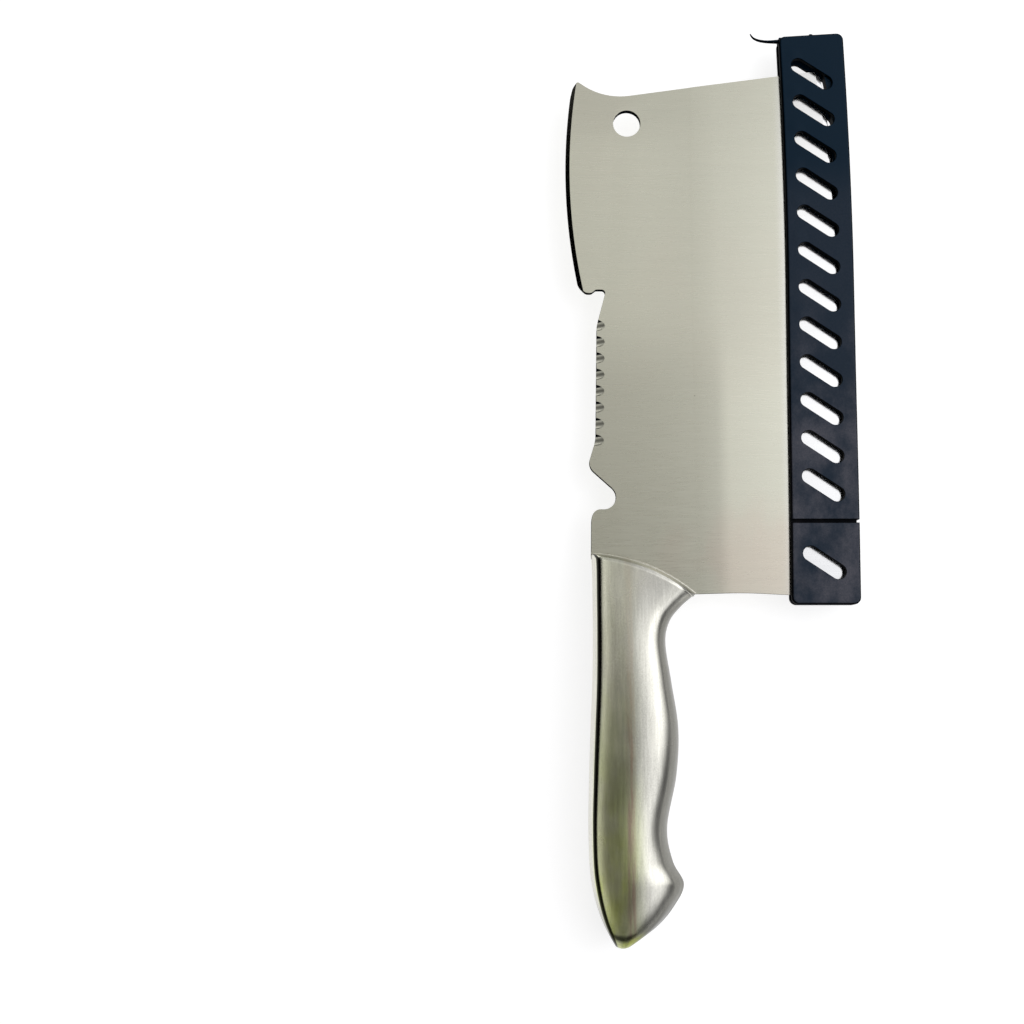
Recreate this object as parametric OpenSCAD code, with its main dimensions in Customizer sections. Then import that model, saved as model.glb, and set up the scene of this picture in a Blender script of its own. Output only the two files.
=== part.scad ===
// Kitchen chopper with a hollow steel handle and a slotted, pull-off edge guard.
// Sizes are in millimetres. The knife lies on its side: +Z is up, +Y runs from the butt to the toe,
// and +X points at the cutting edge. Outlines start from the spine end of the joint between the blade
// and the handle. The whole part is placed once, with its origin under the middle of its box.

/* [Blade] */
// Width from the line of the spine to the cutting edge
blade_w = 91.5; // [89:0.1:94]
// Thickness of the steel beside the spine
blade_t = 2.5; // [2.2:0.1:3]
// Width of the flat stock beside the spine, before the faces taper
stock_w = 42; // [40:0.5:60]
// Height of the top edge above the joint, on the line of the spine
top_y = 167.5; // [160:0.5:170]
// Angle at which the top edge rises towards the toe
top_rise = 8; // [4:0.5:9]
// Rounding of the toe
toe_round = 3.5; // [2:0.1:6]
// How far the blade reaches below the joint where it meets the handle
heel_drop = 14.2; // [13:0.1:15]
// Diameter of the hang hole
hole_d = 10; // [6:0.5:12]
// Distance of the hang hole from the line of the spine
hole_x = 14.2; // [10:0.1:20]
// Height of the hang hole above the joint
hole_y = 158.9; // [146:0.1:160]

/* [Back edge] */
// How far the rounded back stands out past the line of the spine
back_reach = 8.4; // [7:0.1:10]
// Radius of the rounded back
back_r = 218; // [190:1:250]
// Height of the rounded back's farthest point above the joint
back_y = 140.5; // [134:0.5:146]
// Width of the bevel ground along the rounded back
back_bevel_w = 1.5; // [0.8:0.1:2]
// Height of the opener notch's lower lip above the joint
opener_y = 16.2; // [14:0.1:17]
// Depth of the opener notch, to where its two sides would meet
opener_depth = 17.8; // [16:0.1:19]
// Height of the opener notch, from its lower lip to its upper lobe
opener_h = 15; // [14:0.1:16]
// Number of scallops in the scaling edge
scallop_count = 8; // [3:1:8]
// Distance from one scallop to the next
scallop_pitch = 6; // [5:0.1:6.2]
// Radius of the grinding that cuts each scallop
scallop_r = 2; // [1.5:0.1:2.4]
// How far each scallop runs into the front face
scallop_reach = 2.9; // [2.4:0.1:3.4]
// Height of the step's inner corner above the joint
step_y = 96; // [95.2:0.1:96.8]
// Depth of the step, from the line of the spine
step_in = 6.1; // [5:0.1:7]

/* [Cutting edge] */
// Height above the joint at which the cutting edge starts to curve back
curve_y = 102; // [80:1:120]
// Radius of that curve
curve_r = 524; // [400:4:800]
// Width of the bevel along the cutting edge
edge_bevel_w = 1.6; // [1.2:0.1:4]
// Thickness of the blade where that bevel starts
edge_bevel_t = 0.8; // [0.6:0.05:1]
// Thickness left at the cutting edge
edge_t = 0.3; // [0.2:0.05:0.5]

/* [Handle] */
// Length of the handle below the spine end of the joint
handle_l = 135; // [125:1:140]
// Width that the handle's outline is drawn to
handle_w = 31; // [29:0.5:33]
// Thickness of the handle at its fullest
handle_t = 21; // [18:0.5:24]
// Wall of the pressed handle shells
shell_wall = 1.1; // [0.8:0.1:1.4]
// Radius of the curved joint between blade and handle
joint_r = 62; // [60:0.5:66]
// Width of the rounded shoulder where the handle rises from the blade
shoulder_w = 2.6; // [2:0.1:4]
// How far the stub tang reaches below the joint
tang_l = 34; // [26:1:40]
// Width of the stub tang
tang_w = 16; // [12:0.5:17]

/* [Welds] */
// Leg of the bead that joins each shell to the blade
bead_leg = 0.8; // [0.5:0.1:1.2]
// Width of the ground seams that join the two shells
seam_w = 1.2; // [0.8:0.1:1.6]

/* [Edge guard] */
// Width of the guard, from its mouth to its closed side
guard_w = 24.1; // [23:0.1:27]
// Length of the guard
guard_l = 211.3; // [208:0.1:216]
// Thickness of the guard over both plates
guard_t = 6.8; // [6.6:0.1:8]
// Wall of the guard's plates
guard_wall = 1.6; // [1.4:0.1:1.8]
// Distance from the cutting edge to the closed side's inner face
edge_gap = 0.6; // [0.4:0.1:1]
// Thickness of the closed side
web_t = 2.3; // [1.8:0.1:2.6]
// How far the guard reaches past the heel
heel_cover = 2.4; // [1:0.1:4]
// Width of the gripping lips along the mouth
lip_w = 2.2; // [1.6:0.1:3]
// Clearance between each lip and the blade
lip_gap = 0.2; // [0.1:0.05:0.4]
// How much lower the guard's upper end is at its mouth
end_drop = 1.5; // [0:0.1:2]
// Rounding of the guard's corners
corner_r = 2.5; // [1.5:0.1:4]
// Rounding along the guard's outer edges
rim_r = 1; // [0.6:0.1:1.2]
// Distance from one slot to the next
slot_pitch = 13.88; // [13:0.01:14]
// Number of slot places, counting the one that the snap-off groove takes
slot_places = 14; // [6:1:14]
// Distance from the guard's lower end to the middle of the first slot
first_slot = 14.8; // [12:0.1:16]
// Length of a slot over its round ends
slot_l = 16.9; // [12:0.1:18]
// Width of a slot
slot_w = 5.3; // [4:0.1:5.6]
// How far the slots lie from the guard's middle line, towards its mouth
slot_shift = 0.6; // [0:0.1:1.4]
// Angle at which the slots slope
slot_angle = 34; // [28:1:40]
// Length of the section that snaps off
snap_l = 29.7; // [29:0.1:30.6]
// Width of the snap-off groove
groove_w = 1.2; // [0.8:0.1:1.6]
// Depth of the snap-off groove in each plate
groove_d = 1; // [0.6:0.1:1.2]
// How far the end tongue reaches past the mouth
tongue_reach = 10; // [6:0.1:11]
// Height that the tongue's tip curls up
tongue_curl = 3; // [2:0.1:5]
// Thickness of the end wall and of the tongue's root
tongue_t = 1.2; // [0.8:0.1:1.4]
// Width of the tongue, across the guard's thickness
tongue_w = 1.8; // [0.8:0.1:3]

/* [Hidden] */

// Facets of a full circle, and points on a long curve and on a rounded corner
$fn = 64;
curve_steps = 24;
corner_steps = 8;
// How far a cut runs past the face that it opens
overrun = 5;

// Opener notch: setback and rounding of its lip, the bend below the lip, then its round inner corner
lip_in = 1;
lip_round = 3.2;
lip_foot_in = 0.15;
lip_foot_drop = 4.4;
lip_foot_round = 10;
inner_drop = 2;
inner_round = 4.4;
// Lobe above the opener notch
lobe_reach = 1.05;
lobe_round = 4.5;
// Scaling edge: distance above the lobe, setback from the spine line at its two ends, rounding there
scaling_rise = 9.6;
scaling_low_in = 1.9;
scaling_high_in = 2.6;
scaling_round = 15;
// Steel that a scallop leaves at the back corner of the edge
scallop_floor = 0.2;
// Step: rounding of its inner corner, then the width and rounding of the hollow's ceiling
step_round = 1.3;
hollow_w = 3.8;
hollow_round = 1;
// Foot of the rounded back: its two ends, its drop below the step, and the bend above it
foot_in = 0.7;
foot_in_round = 1.6;
foot_out = 1.3;
foot_out_round = 2.2;
foot_drop = 1.25;
bend_out = 4.25;
bend_rise = 1.5;
bend_round = 4;
// Rounded back: heights at which it starts and ends, above the step and above the top edge's line
back_start_rise = 3.2;
back_end_rise = 1.6;
// Thickness left between the two bevels of the rounded back
back_land = 0.5;
// Horn: place and rounding of its shoulder and of its tip, above the top edge's line
horn_shoulder_out = 5.6;
horn_shoulder_rise = 5.4;
horn_shoulder_round = 5;
horn_out = 3.8;
horn_rise = 7.6;
horn_round = 0.7;
// Hollow between the horn and the top edge
horn_hollow_in = 6;
horn_hollow_round = 24;
// Heel edge: drop and rounding of the heel, and the slight crest towards the handle
heel_tip_drop = 15.6;
heel_round = 1;
crest_in = 54;
crest_drop = 13.7;
crest_round = 150;
// Distance of the joint's centre behind the line of the spine, and middle of the tang
joint_lead = 3;
tang_mid = 13;
tang_round = 2;

// Handle outline: pairs of points on the spine and on the belly, as shares of the handle's width and
// length. The belly's first point is the end of the joint.
spine_shares = [[0, 0], [0.01, 0.052], [0.013, 0.12], [0.013, 0.222], [0.004, 0.333], [-0.02, 0.452],
    [-0.04, 0.57], [-0.052, 0.689], [-0.045, 0.785], [-0.019, 0.844], [0.039, 0.9], [0.123, 0.95],
    [0.235, 0.995]];
belly_shares = [[1.01, 0.139], [0.88, 0.178], [0.834, 0.233], [0.895, 0.333], [0.965, 0.452],
    [0.936, 0.57], [0.824, 0.7], [0.88, 0.785], [1, 0.843], [0.88, 0.9], [0.685, 0.95],
    [0.4, 0.995]];
// Height of the crest at each pair, as shares of the handle's half thickness
crest_shares = [0.8, 0.83, 0.87, 0.92, 0.97, 1, 1, 0.97, 0.95, 0.96, 0.94, 0.88, 0.8];
// Cross-section of a shell from spine to belly, as shares of the local width and of the crest
section_shares = [[0, 0], [0.028, 0.36], [0.055, 0.66], [0.095, 0.82], [0.19, 0.93], [0.36, 1],
    [0.54, 0.985], [0.7, 0.92], [0.82, 0.79], [0.92, 0.53], [0.975, 0.26], [1, 0]];
// Shares of the handle's length: the rounding that closes the butt, the end of the hollow, and the
// stretch over which the joint's bulge fades out
butt_round_share = 0.08;
hollow_end_share = 0.96;
fade_share = 0.25;
// Power of the rounded square that shapes the shoulder and the butt
round_power = 2.4;
// Sections along a shell, points across each, and steps along a seam
shell_sections = 40;
section_points = 15;
seam_steps = 48;
// How far the blade runs under the shells' front walls, and the distances past its steel at which the
// shells' rims close up and the seams start
underlap = shell_wall;
rim_clear = 0.5;
seam_clear = 0.9;
// Shape of the tongue, as shares of its reach and curl, and the thickness left at its tip
tongue_shares = [[0, 0], [-0.4, 0], [-0.68, 0.14], [-0.87, 0.42], [-0.965, 0.78], [-1, 1]];
tongue_tip_share = 0.3;
tongue_steps = 12;
// Distance of the end wall below the guard's upper end, and the nick beside the snap-off groove
end_inset = 1.5;
nick_r = 0.8;

// General functions

function unit(v) = v / norm(v);
function mix(a, b, share) = a + (b - a) * share;
function turn(a, b) = sign(a[0] * b[1] - a[1] * b[0]);

function arc_points(centre, r, from, to, steps) =
    [for (i = [0:steps]) let (a = mix(from, to, i / steps)) centre + r * [cos(a), sin(a)]];

// The arc that rounds corner b between a and c
function round_corner(a, b, c, r) =
    let (u = unit(a - b), v = unit(c - b), half = acos(u * v) / 2)
    let (centre = b + unit(u + v) * r / sin(half), start = b + u * r / tan(half) - centre)
    let (from = atan2(start[1], start[0]), sweep = turn(-u, v) * (180 - 2 * half))
    arc_points(centre, r, from, from + sweep, corner_steps);

// An outline from rows of [x, y, rounding]. A row with no rounding stays sharp.
function rounded_outline(rows) = let (n = len(rows)) [
    for (i = [0:n - 1]) let (b = rows[i], before = rows[(i + n - 1) % n], after = rows[(i + 1) % n])
        each b[2] == 0 ? [[b[0], b[1]]]
            : round_corner([before[0], before[1]], [b[0], b[1]], [after[0], after[1]], b[2])
];

function sharp(points) = [for (p = points) [p[0], p[1], 0]];

// A smooth curve through points, or through plain numbers. t runs from 0 to 1 over all of them.
function spline(points, t) =
    let (last = len(points) - 1, i = min(floor(t * last), last - 1), s = t * last - i)
    let (b = points[i], c = points[i + 1])
    let (a = i > 0 ? points[i - 1] : 2 * b - c, d = i + 2 <= last ? points[i + 2] : 2 * c - b)
    b + ((c - a) * s + (2 * a - 5 * b + 4 * c - d) * pow(s, 2) + (3 * b - a - 3 * c + d) * pow(s, 3)) / 2;

// Where the line from p along d, a unit vector, leaves a circle
function leave_circle(p, d, centre, r) =
    let (q = p - centre, along = q * d) p + d * (sqrt(pow(along, 2) - q * q + pow(r, 2)) - along);

// Points spaced closely at both ends of 0 to 1
function eased(i, n) = (1 - cos(180 * i / n)) / 2;

// Rises from 0 to 1 over the first part of t, as a quarter of a rounded square
function rise(t, part) = t >= part ? 1 : pow(1 - pow(1 - t / part, round_power), 1 / round_power);

// Blade

joint_centre = [-joint_lead, -sqrt(pow(joint_r, 2) - pow(joint_lead, 2))];

function on_joint(x, r) = joint_centre[1] + sqrt(pow(r, 2) - pow(x - joint_centre[0], 2));
function joint_angle(p) = atan2(p[1] - joint_centre[1], p[0] - joint_centre[0]);

joint_end = [joint_centre[0] + sqrt(pow(joint_r, 2) - pow(heel_drop + joint_centre[1], 2)), -heel_drop];
under_r = joint_r - underlap;
under_end = joint_centre + (joint_end - joint_centre) * under_r / joint_r;

back_centre = [back_r - back_reach, back_y];

// Direction from the rounded back's centre to its point at height y
function back_angle(y) = 180 - asin((y - back_y) / back_r);

curve_centre = [blade_w - curve_r, curve_y];
top_line = [cos(top_rise), sin(top_rise)];
toe = leave_circle([0, top_y], top_line, curve_centre, curve_r);
toe_angle = asin((toe[1] - 2 * toe_round - curve_y) / curve_r);

scaling_y = opener_y + opener_h + scaling_rise;
scaling_l = scallop_pitch * (scallop_count - 1);

function scaling_in(share) = mix(scaling_low_in, scaling_high_in, share);

blade_rows = concat(
    [[0, 0, 0],
    [lip_foot_in, opener_y - lip_foot_drop, lip_foot_round],
    [lip_in, opener_y, lip_round],
    [opener_depth, opener_y - inner_drop, inner_round],
    [-lobe_reach, opener_y + opener_h, lobe_round],
    [scaling_low_in, scaling_y, scaling_round],
    [scaling_high_in, scaling_y + scaling_l, scaling_round],
    [step_in, step_y, step_round],
    [step_in - hollow_w, step_y, hollow_round],
    [foot_in, step_y - foot_drop, foot_in_round],
    [-foot_out, step_y - foot_drop, foot_out_round],
    [-bend_out, step_y + bend_rise, bend_round]],
    sharp(arc_points(back_centre, back_r, back_angle(step_y + back_start_rise),
        back_angle(top_y + back_end_rise), curve_steps)),
    [[-horn_shoulder_out, top_y + horn_shoulder_rise, horn_shoulder_round],
    [-horn_out, top_y + horn_rise, horn_round],
    [horn_hollow_in, top_y + horn_hollow_in * tan(top_rise), horn_hollow_round],
    [toe[0], toe[1], toe_round]],
    sharp(arc_points(curve_centre, curve_r, toe_angle, 0, curve_steps)),
    [[blade_w, -heel_tip_drop, heel_round],
    [crest_in, -crest_drop, crest_round],
    [joint_end[0], joint_end[1], 0],
    [under_end[0], under_end[1], 0],
    [tang_mid + tang_w / 2, on_joint(tang_mid + tang_w / 2, under_r), 0],
    [tang_mid + tang_w / 2, -tang_l, tang_round],
    [tang_mid - tang_w / 2, -tang_l, tang_round],
    [tang_mid - tang_w / 2, on_joint(tang_mid - tang_w / 2, under_r), 0],
    [0, on_joint(0, under_r), 0]]
);

// Half of the blade's thickness at distance x from the line of the spine
function half_t(x) = lookup(x, [[stock_w, blade_t / 2], [blade_w - edge_bevel_w, edge_bevel_t / 2],
    [blade_w, edge_t / 2]]);

// The two tapered faces, seen from the end of the blade
module taper_profile() {
    upper = [for (x = [-back_reach - overrun, stock_w, blade_w - edge_bevel_w, blade_w]) [x, half_t(x)]];
    lower = [for (i = [len(upper) - 1:-1:0]) [upper[i][0], -upper[i][1]]];
    polygon(concat(upper, lower));
}

// Extrudes a profile drawn across X and Z along Y, from y0 to y1
module along_y(y0, y1) {
    translate([0, y1, 0])
        rotate([90, 0, 0])
            linear_extrude(y1 - y0)
                children();
}

// A gouge that starts on the front face and runs out just above the back corner of the edge
module scallop() {
    slope = atan2(blade_t - scallop_floor, scallop_reach);
    translate([0, 0, scallop_floor - blade_t / 2])
        rotate([0, 90 - slope, 0])
            translate([-scallop_r, 0, 0])
                cylinder(r = scallop_r, h = 4 * overrun, center = true);
}

module scallops() {
    for (i = [0:scallop_count - 1])
        translate([scaling_in(i / (scallop_count - 1)), scaling_y + i * scallop_pitch, 0])
            scallop();
}

// Ring that cuts a bevel of width w along an edge of radius r. The bevel's face drops from half
// thickness z0 at its inner side to z1 at the edge, and runs on past it.
module bevel_ring(r, w, z0, z1, angle) {
    rotate_extrude(angle = angle)
        polygon([[r - w, z0], [r + w, 2 * z1 - z0], [r + w, blade_t], [r - w, blade_t]]);
}

// Cutter for the bevel of the rounded back, which runs on past the back's own ends
module back_bevel() {
    from = back_angle(top_y + horn_rise + overrun);
    translate(back_centre)
        rotate([0, 0, from])
            bevel_ring(back_r, back_bevel_w, blade_t / 2, back_land / 2,
                back_angle(step_y - overrun) - from);
}

// Cutter that thins the curved part of the cutting edge
module curve_bevel() {
    translate(curve_centre)
        bevel_ring(curve_r, edge_bevel_w, edge_bevel_t / 2, edge_t / 2,
            asin((toe[1] + overrun - curve_y) / curve_r));
}

module blade() {
    color("#b5b2a4")
    difference() {
        intersection() {
            linear_extrude(blade_t, center = true)
                polygon(rounded_outline(blade_rows));
            along_y(-handle_l, toe[1] + overrun)
                taper_profile();
        }
        translate([hole_x, hole_y, 0])
            cylinder(d = hole_d, h = blade_t + overrun, center = true);
        scallops();
        for (side = [0, 1])
            mirror([0, 0, side]) {
                back_bevel();
                curve_bevel();
            }
    }
}

// Handle shells

spine = [for (s = spine_shares) [s[0] * handle_w, -s[1] * handle_l]];
belly = concat([joint_end], [for (s = belly_shares) [s[0] * handle_w, -s[1] * handle_l]]);
pairs = len(spine) - 1;

// The joint's bulge between its ends, which fades out down the handle
joint_bulge = joint_r - sqrt(pow(joint_r, 2) - pow(norm(joint_end) / 2, 2));
bulge_way = unit([-joint_end[1], joint_end[0]]);

// How far along the handle, from 0 to 1, a length beside the joint reaches
function handle_part(length) = length / (norm(spine[1] - spine[0]) * pairs);

// A place in the handle's plan: t runs down the handle, u from spine to belly
function plan(t, u) =
    let (fade = t >= fade_share ? 0 : pow(1 - t / fade_share, 2))
    mix(spline(spine, t), spline(belly, t), u) + bulge_way * joint_bulge * 4 * u * (1 - u) * fade;

// Height of the rim that faces the other shell: over the blade at the joint, over the seam elsewhere
function rim_z(t) = t <= handle_part(underlap + rim_clear) ? blade_t / 2 : seam_w / 2;

function crest(t) = spline(crest_shares, t) * handle_t / 2;

// How far a shell swells from its rim to its crest, from 0 to 1
function swell(t, u) =
    rise(t, handle_part(shoulder_w)) * rise(1 - t, butt_round_share) * spline(section_shares, u)[1];

function outer_point(t, u) =
    let (at = plan(t, spline(section_shares, u)[0]))
    [at[0], at[1], mix(rim_z(t), crest(t), swell(t, u))];

// The same surface, drawn in by the wall on every side
function inner_point(t, u) =
    let (in_t = mix(handle_part(shell_wall), hollow_end_share, t))
    let (edge = shell_wall / norm(spline(belly, in_t) - spline(spine, in_t)))
    let (at = plan(in_t, mix(edge, 1 - edge, spline(section_shares, u)[0])))
    [at[0], at[1], mix(rim_z(in_t), crest(in_t) - shell_wall, swell(t, u))];

function quad(a, b, c, d) = [[a, b, c], [a, c, d]];

module handle_shell() {
    n = shell_sections;
    m = section_points;
    row = m + 1;
    inner = (n + 1) * row;
    outer_grid = [for (i = [0:n], j = [0:m]) outer_point(eased(i, n), eased(j, m))];
    inner_grid = [for (i = [0:n], j = [0:m]) inner_point(eased(i, n), eased(j, m))];
    faces = [
        for (i = [0:n - 1], j = [0:m - 1]) let (a = i * row + j, b = a + row)
            each concat(quad(a, a + 1, b + 1, b), quad(inner + b, inner + b + 1, inner + a + 1, inner + a)),
        for (j = [0:m - 1]) let (a = j, b = n * row + j)
            each concat(quad(inner + a, inner + a + 1, a + 1, a), quad(b, b + 1, inner + b + 1, inner + b)),
        for (i = [0:n - 1]) let (a = i * row, b = i * row + m)
            each concat(quad(a, a + row, inner + a + row, inner + a), quad(inner + b, inner + b + row, b + row, b))
    ];
    polyhedron(concat(outer_grid, inner_grid), faces);
}

module handle_front_shell() {
    color("#a6a498")
    handle_shell();
}

module handle_back_shell() {
    color("#a6a498")
    mirror([0, 0, 1])
        handle_shell();
}

// Welds

module joint_weld() {
    from = joint_angle(joint_end);
    to = joint_angle([0, 0]);
    translate([joint_centre[0], joint_centre[1], blade_t / 2])
        rotate([0, 0, from])
            rotate_extrude(angle = to - from)
                translate([joint_r, 0])
                    intersection() {
                        circle(bead_leg);
                        square(bead_leg);
                    }
}

module front_joint_weld() {
    color("#c9c6ba")
    joint_weld();
}

module back_joint_weld() {
    color("#c9c6ba")
    mirror([0, 0, 1])
        joint_weld();
}

// A strip as deep as the wall along one side of the handle
module seam(u_out, u_side) {
    start = handle_part(underlap + seam_clear);
    ts = [for (i = [0:seam_steps]) mix(start, 1, i / seam_steps)];
    edge = [for (t = ts) plan(t, u_out)];
    inside = [for (t = ts) plan(t, u_out + u_side * shell_wall / norm(plan(t, 1) - plan(t, 0)))];
    linear_extrude(seam_w, center = true)
        polygon(concat(edge, [for (i = [seam_steps:-1:0]) inside[i]]));
}

module spine_seam_weld() {
    color("#9c9a8f")
    seam(0, 1);
}

module belly_seam_weld() {
    color("#9c9a8f")
    seam(1, -1);
}

// Edge guard

guard_x1 = blade_w + edge_gap + web_t;
guard_x0 = guard_x1 - guard_w;
guard_y0 = -heel_tip_drop - heel_cover;
guard_y1 = guard_y0 + guard_l;
plate_z = guard_t / 2 - guard_wall;
lip_z = half_t(guard_x0) + lip_gap;
snap_y = guard_y0 + snap_l;
slot_x = (guard_x0 + guard_x1) / 2 - slot_shift;
end_wall_y = guard_y1 - end_inset - tongue_t;

// A rectangle with round corners, between its low and its high corner
module round_rect(low, high, r) {
    translate(low + [r, 0])
        square(high - low - [2 * r, 0]);
    translate(low + [0, r])
        square(high - low - [0, 2 * r]);
    for (x = [low[0] + r, high[0] - r], y = [low[1] + r, high[1] - r])
        translate([x, y])
            circle(r);
}

// Cross-section of the guard: two plates, a closed side and a gripping lip on each plate
module channel_profile() {
    half_gap = [[guard_x0 - overrun, 0], [guard_x0 - overrun, lip_z], [guard_x0 + lip_w / 2, lip_z],
        [guard_x0 + lip_w, plate_z], [guard_x1 - web_t, plate_z], [guard_x1 - web_t, 0]];
    difference() {
        round_rect([guard_x0, -guard_t / 2], [guard_x1, guard_t / 2], rim_r);
        polygon(half_gap);
        mirror([0, 1])
            polygon(half_gap);
    }
}

// The outline of a slot: a rectangle with round ends
module slot_shape() {
    straight = slot_l - slot_w;
    square([straight, slot_w], center = true);
    for (x = [-straight / 2, straight / 2])
        translate([x, 0])
            circle(d = slot_w);
}

module slots() {
    for (i = [0:slot_places - 1]) {
        y = guard_y0 + first_slot + i * slot_pitch;
        if (abs(y - snap_y) > slot_pitch / 2)
            translate([slot_x, y, 0])
                rotate([0, 0, -slot_angle])
                    linear_extrude(guard_t + overrun, center = true)
                        slot_shape();
    }
}

// Plan of the whole guard, whose upper end slopes down to the mouth
guard_rows = [[guard_x0, guard_y0, corner_r], [guard_x1, guard_y0, corner_r],
    [guard_x1, guard_y1, corner_r], [guard_x0, guard_y1 - end_drop, corner_r]];

// The stretch of the guard from y0 to y1, with its rounded corners and its slots
module guard_stretch(y0, y1) {
    difference() {
        intersection() {
            along_y(y0, y1)
                channel_profile();
            linear_extrude(guard_t, center = true)
                polygon(rounded_outline(guard_rows));
        }
        slots();
    }
}

// The groove that runs round the guard's outside, with a nick in the closed side
module snap_groove() {
    along_y(snap_y - groove_w / 2, snap_y + groove_w / 2)
        difference() {
            translate([guard_x0 - overrun, -guard_t])
                square([guard_w + 2 * overrun, 2 * guard_t]);
            round_rect([guard_x0 - 2 * overrun, groove_d - guard_t / 2],
                [guard_x1 - groove_d, guard_t / 2 - groove_d], rim_r);
        }
    translate([guard_x1, snap_y, 0])
        cylinder(r = nick_r, h = guard_t + overrun, center = true);
}

// The end wall between the plates, which runs on past the mouth as a curled tongue
module end_tongue() {
    n = tongue_steps;
    middle = [for (s = tongue_shares)
        [guard_x0 + s[0] * tongue_reach, end_wall_y + tongue_t / 2 + s[1] * tongue_curl]];
    path = [for (i = [0:n]) spline(middle, i / n)];
    way = [for (i = [0:n]) unit(path[min(i + 1, n)] - path[max(i - 1, 0)])];
    across = [for (i = [0:n]) [way[i][1], -way[i][0]] * mix(1, tongue_tip_share, i / n) * tongue_t / 2];
    linear_extrude(tongue_w, center = true)
        polygon(concat(path + across, [for (i = [n:-1:0]) path[i] - across[i]]));
    linear_extrude(2 * plate_z, center = true)
        translate([guard_x0, end_wall_y])
            square([guard_w - web_t, tongue_t]);
}

// Wall inside the closed side that keeps to the curved part of the cutting edge, at the edge gap
module edge_wall() {
    r = curve_r + edge_gap;
    linear_extrude(2 * plate_z, center = true)
        polygon(concat([[guard_x1 - web_t / 2, end_wall_y], [guard_x1 - web_t / 2, curve_y]],
            arc_points(curve_centre, r, 0, asin((end_wall_y - curve_y) / r), curve_steps)));
}

module guard_main_section() {
    color("#20252e")
    union() {
        difference() {
            guard_stretch(snap_y - groove_w / 2, guard_y1);
            snap_groove();
        }
        edge_wall();
        end_tongue();
    }
}

module guard_snap_off_end() {
    color("#272d37")
    guard_stretch(guard_y0, snap_y - groove_w / 2);
}

// Place of the part: its origin lies under the middle of its box
tongue_top = end_wall_y + tongue_t + tongue_curl;
place = [(back_reach - guard_x1) / 2, (handle_l - max(guard_y1, tongue_top)) / 2, handle_t / 2];

translate(place) blade();
translate(place) handle_front_shell();
translate(place) handle_back_shell();
translate(place) front_joint_weld();
translate(place) back_joint_weld();
translate(place) spine_seam_weld();
translate(place) belly_seam_weld();
translate(place) guard_main_section();
translate(place) guard_snap_off_end();
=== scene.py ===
"""Finishes a kitchen chopper: brushed blade, satin hollow handle and slotted edge guard."""
import math
from contextlib import contextmanager
from functools import reduce

import bmesh
import bpy
from mathutils import Matrix, Vector


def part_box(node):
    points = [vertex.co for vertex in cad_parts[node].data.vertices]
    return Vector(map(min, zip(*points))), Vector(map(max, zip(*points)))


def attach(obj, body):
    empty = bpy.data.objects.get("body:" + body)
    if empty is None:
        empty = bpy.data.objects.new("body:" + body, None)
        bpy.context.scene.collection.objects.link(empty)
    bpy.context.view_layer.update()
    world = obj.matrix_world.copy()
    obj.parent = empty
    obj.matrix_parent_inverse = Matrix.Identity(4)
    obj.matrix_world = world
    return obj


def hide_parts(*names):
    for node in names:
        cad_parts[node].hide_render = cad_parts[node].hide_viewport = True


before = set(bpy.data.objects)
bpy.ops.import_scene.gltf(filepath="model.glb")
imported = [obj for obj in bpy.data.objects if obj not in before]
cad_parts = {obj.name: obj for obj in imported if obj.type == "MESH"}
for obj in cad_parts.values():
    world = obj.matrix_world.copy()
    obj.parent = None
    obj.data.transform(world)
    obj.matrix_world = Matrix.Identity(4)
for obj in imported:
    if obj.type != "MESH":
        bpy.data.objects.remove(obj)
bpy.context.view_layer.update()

bl_info = {
    "name": "Kitchen chopper",
    "version": (1, 0, 0),
    "blender": (4, 5, 0),
    "location": "View3D > Sidebar > Chopper",
    "description": "Builds a chopper with a hollow handle and a slotted guard on its CAD frame",
    "category": "Add Mesh",
}

MM = 0.001
# How far a cutter runs past the face that it opens
OVERRUN = 5 * MM
# Points on a rounded corner and on a long curve
CORNER_STEPS = 10
CURVE_STEPS = 48


# Sizes and colours that a user would change


def length(name, description, millimetres):
    return bpy.props.FloatProperty(
        name=name, description=description, default=millimetres * MM, precision=5, unit="LENGTH"
    )


def angle(name, description, degrees):
    return bpy.props.FloatProperty(
        name=name, description=description, default=math.radians(degrees), subtype="ANGLE"
    )


def number(name, description, count):
    return bpy.props.IntProperty(name=name, description=description, default=count, min=1)


def colour(name, description, rgb):
    return bpy.props.FloatVectorProperty(
        name=name, description=description, default=rgb, size=3, min=0, max=1, subtype="COLOR"
    )


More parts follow.
